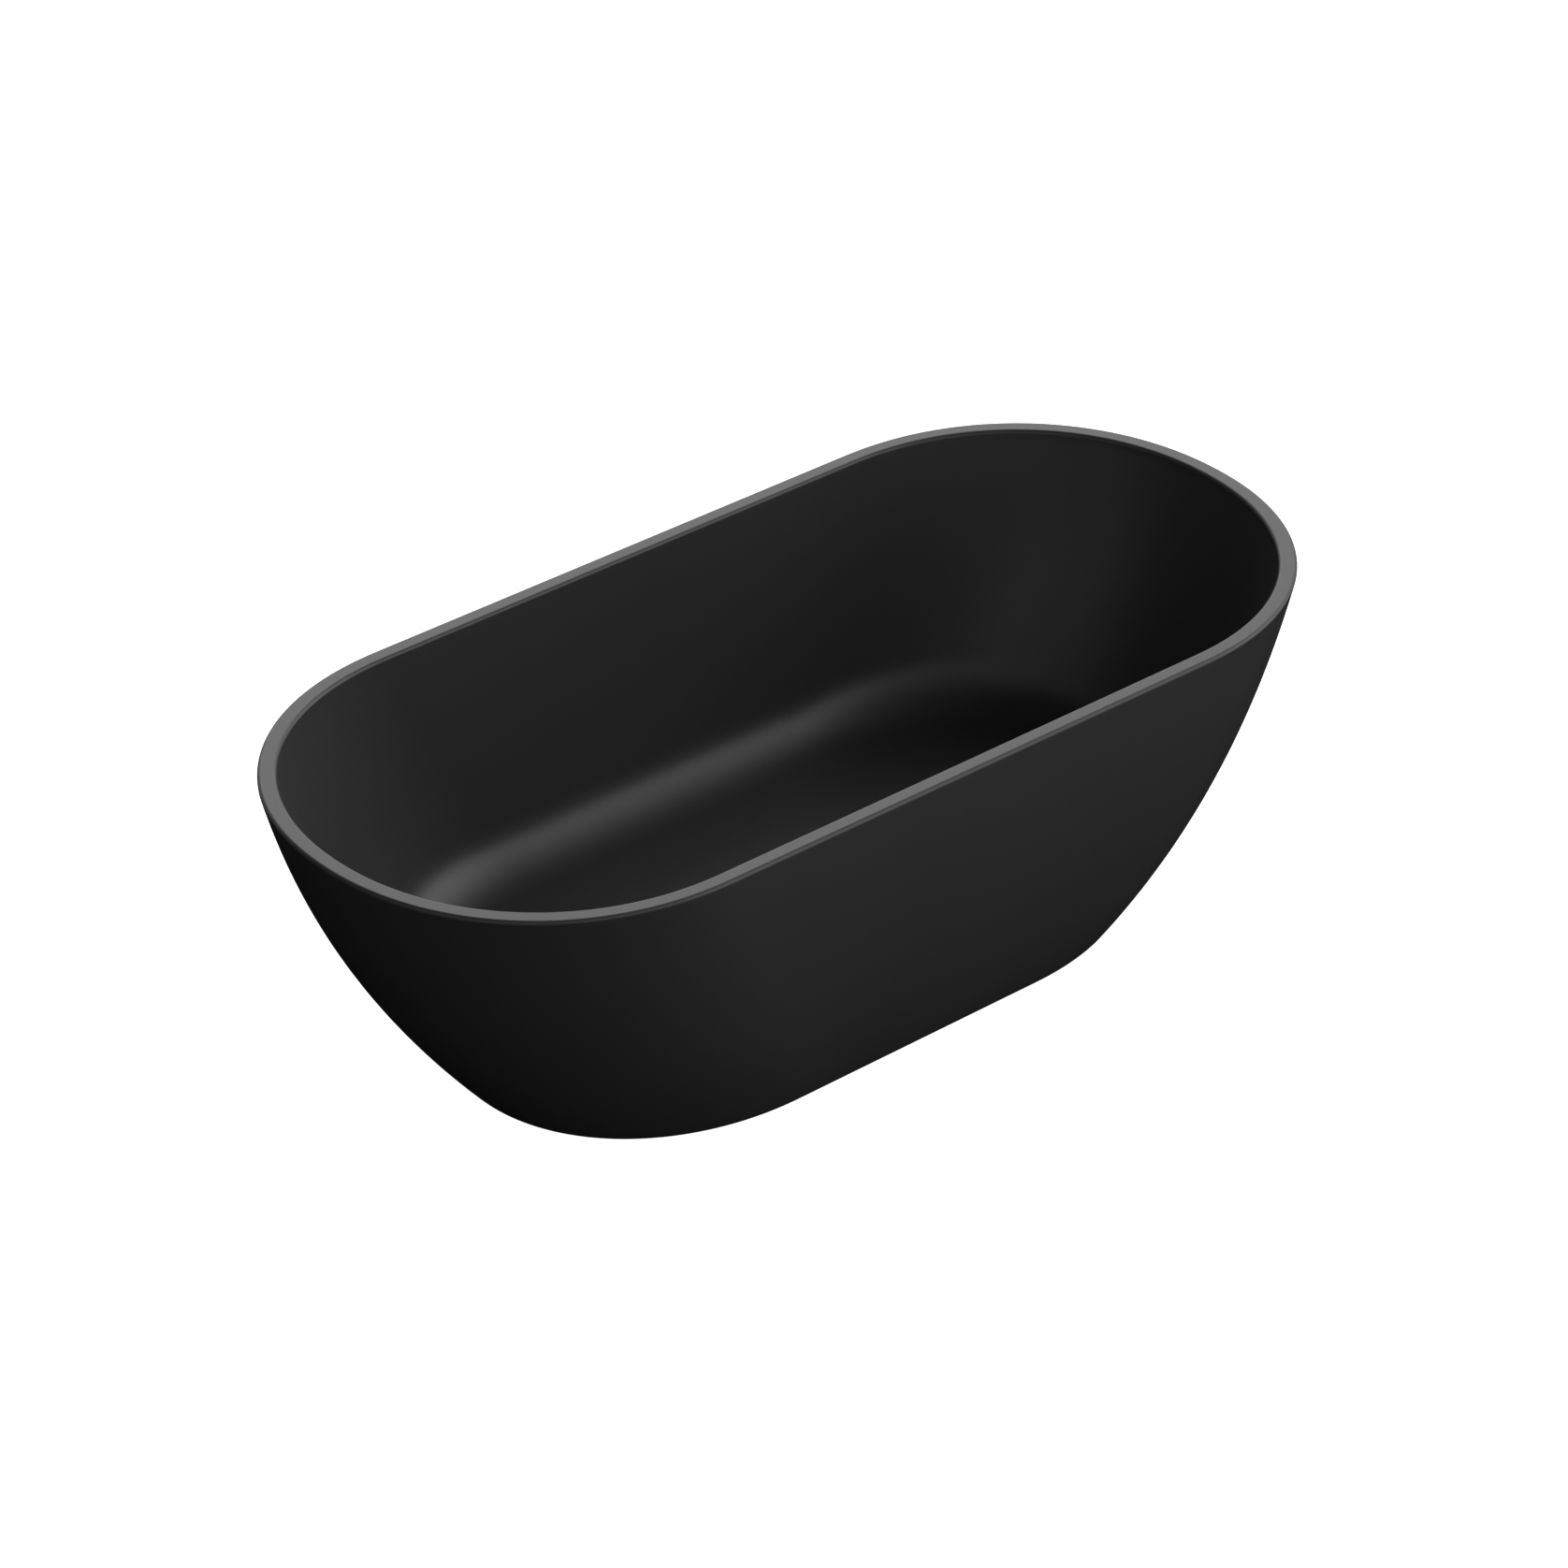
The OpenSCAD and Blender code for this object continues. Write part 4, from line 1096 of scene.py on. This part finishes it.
def pad_form(high):
    seat, neck = 10.3 * MM, 6.3 * MM
    r = PAD_R
    rows = [(0, 0), (0, r - 5 * MM), (0.5 * MM, r - 4.6 * MM), (0.5 * MM, r - 3 * MM),
            (0, r - 2.6 * MM), (0, r - 1.2 * MM), (0.3 * MM, r - 0.4 * MM),
            (MM, ribbed(r, 0.6 * MM)), (2.5 * MM, ribbed(r, 1.4 * MM)),
            (4 * MM, ribbed(r, 1.4 * MM)), (4.8 * MM, ribbed(r - 0.9 * MM, 0.8 * MM)),
            (5.5 * MM, r - 2.2 * MM),
            (7.4 * MM, r - 6.2 * MM), (9.4 * MM, r - 9.6 * MM), (high - MM, seat + 5 * MM),
            (high - 0.4 * MM, seat + 4.7 * MM), (high, seat + 4 * MM), (high, neck + 0.5 * MM),
            (high - 0.5 * MM, neck), (9.6 * MM, neck), (9.6 * MM, seat), (5 * MM, seat),
            (5 * MM, 0)]
    return turned(rows, 96)


for foot, (x, y) in foot_places.items():
    mesh = merged("pad", [(pad_form(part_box("pad_" + foot)[1].z), at(x, y))])
    finish_piece("foot_pad_" + foot, mesh, f"pad_{foot}_body", ["pad_" + foot])

# %% [markdown]
# ## The waste
# A flange is clamped through the floor onto a cup below it. The push cap covers it with a
# narrow gap all round. All of it is turned, with a small radius on every edge that a foot
# could touch, and the screwed parts carry real threads.

# %% Flange
THROAT_R, THROAT_BORE, WASTE_PITCH, WASTE_THREAD = 24 * MM, 20.5 * MM, 2.3 * MM, 0.9 * MM
FLANGE_T, FLANGE_BEND, HUB_R, STEM_ROOM = 2.5 * MM, 1.4 * MM, 10 * MM, 7.05 * MM
waste_low, waste_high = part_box("waste_flange")


def flange_form():
    low, r, bore = waste_low.z, waste_high.x, THROAT_BORE
    face_low, bend_z = waste_high.z - FLANGE_T, waste_high.z - FLANGE_BEND
    rows = [(low, bore), (low, THROAT_R - 0.8 * MM)]
    rows += thread(low + 0.8 * MM, low + 20 * MM, THROAT_R, WASTE_THREAD, WASTE_PITCH)
    rows += [(face_low, THROAT_R), (face_low, r - 0.5 * MM), (face_low + 0.5 * MM, r)]
    rows += rounded(bend_z, r - FLANGE_BEND, FLANGE_BEND, 0, 90, 5)
    rows += rounded(bend_z, bore + FLANGE_BEND, FLANGE_BEND, 90, 180, 5)
    return turned(rows, 72, closed=True)


def spider_forms():
    """The cross inside the throat that guides the plug's stem."""
    low, high, bend = waste_low.z + 8 * MM, waste_low.z + 16 * MM, 0.6 * MM
    hub = turned([(low, STEM_ROOM), (low, HUB_R - bend), (low + bend, HUB_R), (high - bend, HUB_R),
                  (high, HUB_R - bend), (high, STEM_ROOM)], closed=True)
    blade, reach = squared(3 * MM, 6 * MM, 4), 12.2 * MM
    arm = turned([(0, 0), (0, blade), (reach, blade), (reach, 0)], 24)
    lay = Matrix.Rotation(math.pi / 2, 4, "Y") @ Matrix.Rotation(math.pi / 2, 4, "Z")
    root = at(HUB_R - MM, 0, low + 3 * MM)
    quarters = [Matrix.Rotation(k * math.pi / 2, 4, "Z") for k in range(4)]
    return [(hub, Matrix.Identity(4))] + [(arm, quarter @ root @ lay) for quarter in quarters]


waste_mesh = merged("waste_flange", [(flange_form(), Matrix.Identity(4))] + spider_forms())
finish_piece("waste_flange_turned", waste_mesh, "tub", ["waste_flange"])

# %% [markdown]
# The three seals are flat rubber rings with eight-sided sections, which look soft enough at
# their size. The one under the cap rides with the plug.

# %% Seals
SEALS = [
    ("waste_seal_top", 25 * MM, 34 * MM, "tub"),
    ("waste_seal_bottom", 25 * MM, 36 * MM, "tub"),
    ("plug_seal", 23 * MM, 28 * MM, "plug"),
]


def seal_form(node, bore, r):
    low, high = (corner.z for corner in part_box(node))
    edge = (high - low) * 0.3
    return turned([(low, bore + edge), (low, r - edge), (low + edge, r), (high - edge, r),
                   (high, r - edge), (high, bore + edge), (high - edge, bore), (low + edge, bore)],
                  72, closed=True)


for node, bore, r, body in SEALS:
    finish_piece(node + "_ring", alone(node, seal_form(node, bore, r)), body, [node])

# %% [markdown]
# The cup under the floor is a casting with a threaded outlet below and a boss at its side for
# the overflow. It is made as the real one is: the outside is built whole, the boss is joined
# to it, and the hollow and the bores are taken out last.

# %% Waste body
BODY_R, BODY_WALL, OUTLET_R, OUTLET_WALL = 36 * MM, 6 * MM, 23.9 * MM, 4 * MM
BOSS_R, BOSS_OUT, PIPE_R, PIPE_STOP = 15 * MM, 16 * MM, 10 * MM, 12 * MM
COLLAR_BORE = THROAT_R + THREAD_ROOM
body_box_low, body_box_high = (corner.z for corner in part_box("waste_body"))
body_low, collar_low = body_box_low + 20 * MM, body_box_high - 20 * MM
pipe_z = middle("overflow_pipe").z


def waste_cup():
    low, high, r = body_box_low, body_box_high, BODY_R
    rows = [(low, 0), (low, OUTLET_R - MM)]
    rows += thread(low + MM, body_low - 2 * MM, OUTLET_R, WASTE_THREAD, WASTE_PITCH)
    rows += [(body_low, OUTLET_R), (body_low, r - 6 * MM), (body_low + MM, r - 4.2 * MM),
             (body_low + 3 * MM, r - 3 * MM), (collar_low, r - 3 * MM), (high - 5 * MM, 30.05 * MM),
             (high - 4.4 * MM, r - 0.5 * MM), (high - 3.8 * MM, r), (high - 0.5 * MM, r),
             (high, r - 0.5 * MM), (high, 0)]
    return turned(rows, 72)


def waste_hollow():
    low, high, inside = body_box_low - MM, body_box_high + MM, BODY_R - BODY_WALL
    floor, outlet = body_low + 3 * MM, OUTLET_R - OUTLET_WALL
    rows = [(low, 0), (low, outlet), (floor, outlet), (floor, inside), (collar_low, inside),
            (collar_low, COLLAR_BORE), (high, COLLAR_BORE), (high, 0)]
    return turned(rows, 72)


def across_y(z, start, stop, radius):
    """A round bar along Y."""
    way = at(0, start, z) @ Matrix.Rotation(math.pi / 2, 4, "X")
    return merged("bar", [(post_form(radius, 0, start - stop, 48), way)])


boss_end = -(BODY_R + BOSS_OUT)
boss = across_y(pipe_z, -28 * MM, boss_end, BOSS_R)
cup = combined("UNION", alone("cup", waste_cup()), [boss], "cup")
bores = [alone("hollow", waste_hollow()),
         across_y(pipe_z, -26 * MM, boss_end - MM, PIPE_R - 2 * MM),
         across_y(pipe_z, boss_end + PIPE_STOP, boss_end - MM, PIPE_R + THREAD_ROOM)]
finish_piece("waste_cup", combined("DIFFERENCE", cup, bores, "waste_cup"), "tub", ["waste_body"])

# %% [markdown]
# The cap is a shallow dome with a rolled edge and a short lip that turns down round its
# seal. It is one turned form that rides on the plug.

# %% Cap
cap_low, cap_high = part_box("plug_cap")
CAP_R, CAP_DOME, CAP_BEND, CAP_HOLE = cap_high.x, 2 * MM, 1.2 * MM, 4.05 * MM


def cap_form():
    low, face, inside = cap_low.z, cap_low.z + MM, CAP_R - 2 * MM
    edge = cap_high.z - CAP_DOME
    rows = [(face + 2.2 * MM, 0), (face + 2.2 * MM, CAP_HOLE), (face, CAP_HOLE), (face, inside),
            (low, inside), (low, CAP_R - 0.6 * MM), (low + 0.4 * MM, CAP_R)]
    rows += rounded(edge - CAP_BEND, CAP_R - CAP_BEND, CAP_BEND, 0, 80, 6)
    for share in (0.9, 0.78, 0.64, 0.48, 0.32, 0.16):
        rows.append((edge + (CAP_DOME - 0.2 * MM) * (1 - share ** 2), CAP_R * share))
    return turned(rows + [(cap_high.z - 0.2 * MM, 0)], 96)


finish_piece("push_cap", alone("push_cap", cap_form()), "plug", ["plug_cap"])

# %% [markdown]
# The spring inside the cartridge is a real wire wound on a helix, with its end turns laid
# flatter. Its lower end stands in the cartridge and its upper end pushes the stem. Here it
# is placed in the world frame, on no body of its own.

# %% Spring
spring_low, spring_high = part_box("cartridge_spring")
WIRE, TURNS, TURN_STEPS, WIRE_STEPS = 0.6 * MM, 5, 32, 10


def wire_ring(k, rows):
    """One ring of points round the wire, k steps along it."""
    turn = 2 * math.pi * k / TURN_STEPS
    flat_end = min(1.0, k / TURN_STEPS, (rows - k) / TURN_STEPS)
    climb = (k / rows) ** (1 + 0.15 * (1 - flat_end))
    z = spring_low.z + WIRE + (spring_high.z - spring_low.z - 2 * WIRE) * climb
    points = []
    for i in range(WIRE_STEPS):
        around = 2 * math.pi * i / WIRE_STEPS
        r = spring_high.x - WIRE + WIRE * math.cos(around)
        points.append((r * math.cos(turn), r * math.sin(turn), z + WIRE * math.sin(around)))
    return points


def spring_mesh():
    rows = TURNS * TURN_STEPS
    points = [point for k in range(rows + 1) for point in wire_ring(k, rows)]
    faces = []
    for k in range(rows):
        a, b = k * WIRE_STEPS, (k + 1) * WIRE_STEPS
        for i in range(WIRE_STEPS):
            j = (i + 1) % WIRE_STEPS
            faces.append((a + i, a + j, b + j, b + i))
    faces += [range(WIRE_STEPS), range(rows * WIRE_STEPS, (rows + 1) * WIRE_STEPS)]
    return mesh_from("spring", points, faces)


spring = finish_piece("wound_spring", spring_mesh(), None, ["cartridge_spring"])
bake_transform(spring)

# %% [markdown]
# ## The overflow
# The slot in the front wall has a pressed cover with half-round ends. It is built from rings
# like the tub, this time round the slot: through the mouth, over the face, round the edge
# and back behind it, so that its face and edges are one smooth surface.

# %% Overflow cover
COVER_HALF, MOUTH_HALF, TONGUE_HALF = (41 * MM, 12 * MM), (27 * MM, 2.8 * MM), (29.6 * MM, 4.1 * MM)
ROOM, COVER_T, TONGUE_END = 0.25 * MM, 2.5 * MM, 5.7 * MM
COVER_BEND, MOUTH_BEND = 1.2 * MM, 0.8 * MM


def stadium(half_x, half_z, y):
    """A ring with straight top and bottom and half-round ends."""
    turns = [math.pi * i / 20 - math.pi / 2 for i in range(21)]
    right = [(half_x - half_z + half_z * math.cos(t), half_z * math.sin(t)) for t in turns]
    left = [(-x, z) for x, z in reversed(right)]
    return [(x, y, z) for x, z in right + left]


def bent_rings(half, face, bend, side, angles):
    """Rings round a rolled edge that grow (side 1) or shrink (side -1) from half."""
    rings = []
    for turn in map(math.radians, angles):
        change, y = side * bend * (1 - math.cos(turn)), face + bend * (1 - math.sin(turn))
        rings.append(stadium(half[0] + change, half[1] + change, y))
    return rings


def cover_rings():
    face, back = -ROOM - COVER_T, -ROOM
    rings = [stadium(*MOUTH_HALF, TONGUE_END)]
    rings += bent_rings(MOUTH_HALF, face, MOUTH_BEND, 1, (0, 30, 60, 90))
    rings += bent_rings(COVER_HALF, face, COVER_BEND, -1, (90, 70, 50, 30, 0))
    return rings + [stadium(*COVER_HALF, back), stadium(*TONGUE_HALF, back),
                    stadium(*TONGUE_HALF, TONGUE_END)]


cover_mesh = loop_mesh("overflow_cover", cover_rings())
cover_mesh.transform(overflow_frame())
cover_mesh.flip_normals()
finish_piece("overflow_cover", cover_mesh, "tub", ["overflow_trim"])

# %% [markdown]
# ## Floor and light
# The tub stands on a plain white floor. The floor shines by itself just enough to look
# white, and it is hidden from reflections, because a white floor would drown the black walls.

# %% Floor
FLOOR_HALF, FLOOR_DROP = 30, 0.5 * MM


def make_floor():
    build = bmesh.new()
    bmesh.ops.create_grid(build, x_segments=8, y_segments=8, size=FLOOR_HALF)
    mesh = bpy.data.meshes.new("floor")
    build.to_mesh(mesh)
    build.free()
    for vertex in mesh.vertices:
        vertex.co.z = -FLOOR_DROP
    material = bpy.data.materials.new("floor_white")
    material.use_nodes = True
    shader = material.node_tree.nodes["Principled BSDF"]
    shader.inputs["Base Color"].default_value = grey(0.8)
    shader.inputs["Roughness"].default_value = 0.9
    shader.inputs["Emission Color"].default_value = grey(1)
    shader.inputs["Emission Strength"].default_value = 1.0
    mesh.materials.append(material)
    floor = bpy.data.objects.new("floor", mesh)
    scene.collection.objects.link(floor)
    floor.visible_glossy = False
    floor.visible_diffuse = False


make_floor()
print("floor", 2 * FLOOR_HALF, "m wide")

# %% [markdown]
# All the light comes from the sky, as from very large softboxes with no edges. Each lobe is
# a soft round patch of light, placed like a lamp on a stand: how far it is turned from X
# towards Y, how high it stands above the floor (both in degrees), how narrow it is (the
# cosine at its edge) and its power. A wide low row goes round the tub, and most of its light
# comes from the camera's right, so the right wall and the fillet catch it and the left end
# stays dark. The strong narrow lobe opposite the camera is what the flat of the rim mirrors.

# %% Sky
WIDE, NARROW, NARROWEST = 0.68, 0.80, 0.82
LOW, MIDWAY, HIGH = 14, 27, 38
OPPOSITE = 90 + math.degrees(AZIMUTH), math.degrees(ELEVATION)
SKY_LOBES = [
    (0, LOW, WIDE, 0.47),
    (80, LOW, WIDE, 0.47),
    (160, LOW, WIDE, 0.11),
    (200, LOW, WIDE, 0.26),
    (240, LOW, WIDE, 0.20),
    (280, LOW, WIDE, 0.45),
    (320, LOW, WIDE, 1.09),
    (247.5, HIGH, WIDE, 0.14),
    (337.5, HIGH, WIDE, 0.15),
    (318, MIDWAY, NARROW, 0.10),
    (345, MIDWAY, NARROW, 0.94),
    (47, 20, NARROW, 0.27),
    (*OPPOSITE, NARROWEST, 1.65),
]


def towards(turn, lift):
    """The direction of a lobe from its two angles in degrees."""
    turn, lift = math.radians(turn), math.radians(lift)
    flat = math.cos(lift)
    return Vector((math.cos(turn) * flat, math.sin(turn) * flat, math.sin(lift)))


def facing(tree, direction, axis, spread):
    """How much a direction of the sky lies towards an axis, from 0 to 1."""
    near = Wire.node(tree, "ShaderNodeVectorMath", {"operation": "DOT_PRODUCT"},
                     {0: direction, 1: axis}, out="Value")
    soft = {"clamp": True, "interpolation_type": "SMOOTHSTEP"}
    return Wire.node(tree, "ShaderNodeMapRange", soft,
                     {"Value": near, "From Min": spread, "From Max": 1.0})


def make_sky():
    world = bpy.data.worlds.new("studio")
    world.use_nodes = True
    scene.world = world
    tree = world.node_tree
    direction = Wire.node(tree, "ShaderNodeTexCoord", out="Generated")
    light = 0.0
    for turn, lift, spread, power in SKY_LOBES:
        light = facing(tree, direction, towards(turn, lift), spread) * power + light
    background = tree.nodes["Background"]
    background.inputs["Color"].default_value = grey(1)
    tree.links.new(light.socket, background.inputs["Strength"])


make_sky()
scene.view_settings.view_transform = "Standard"
print("sky with", len(SKY_LOBES), "lobes")
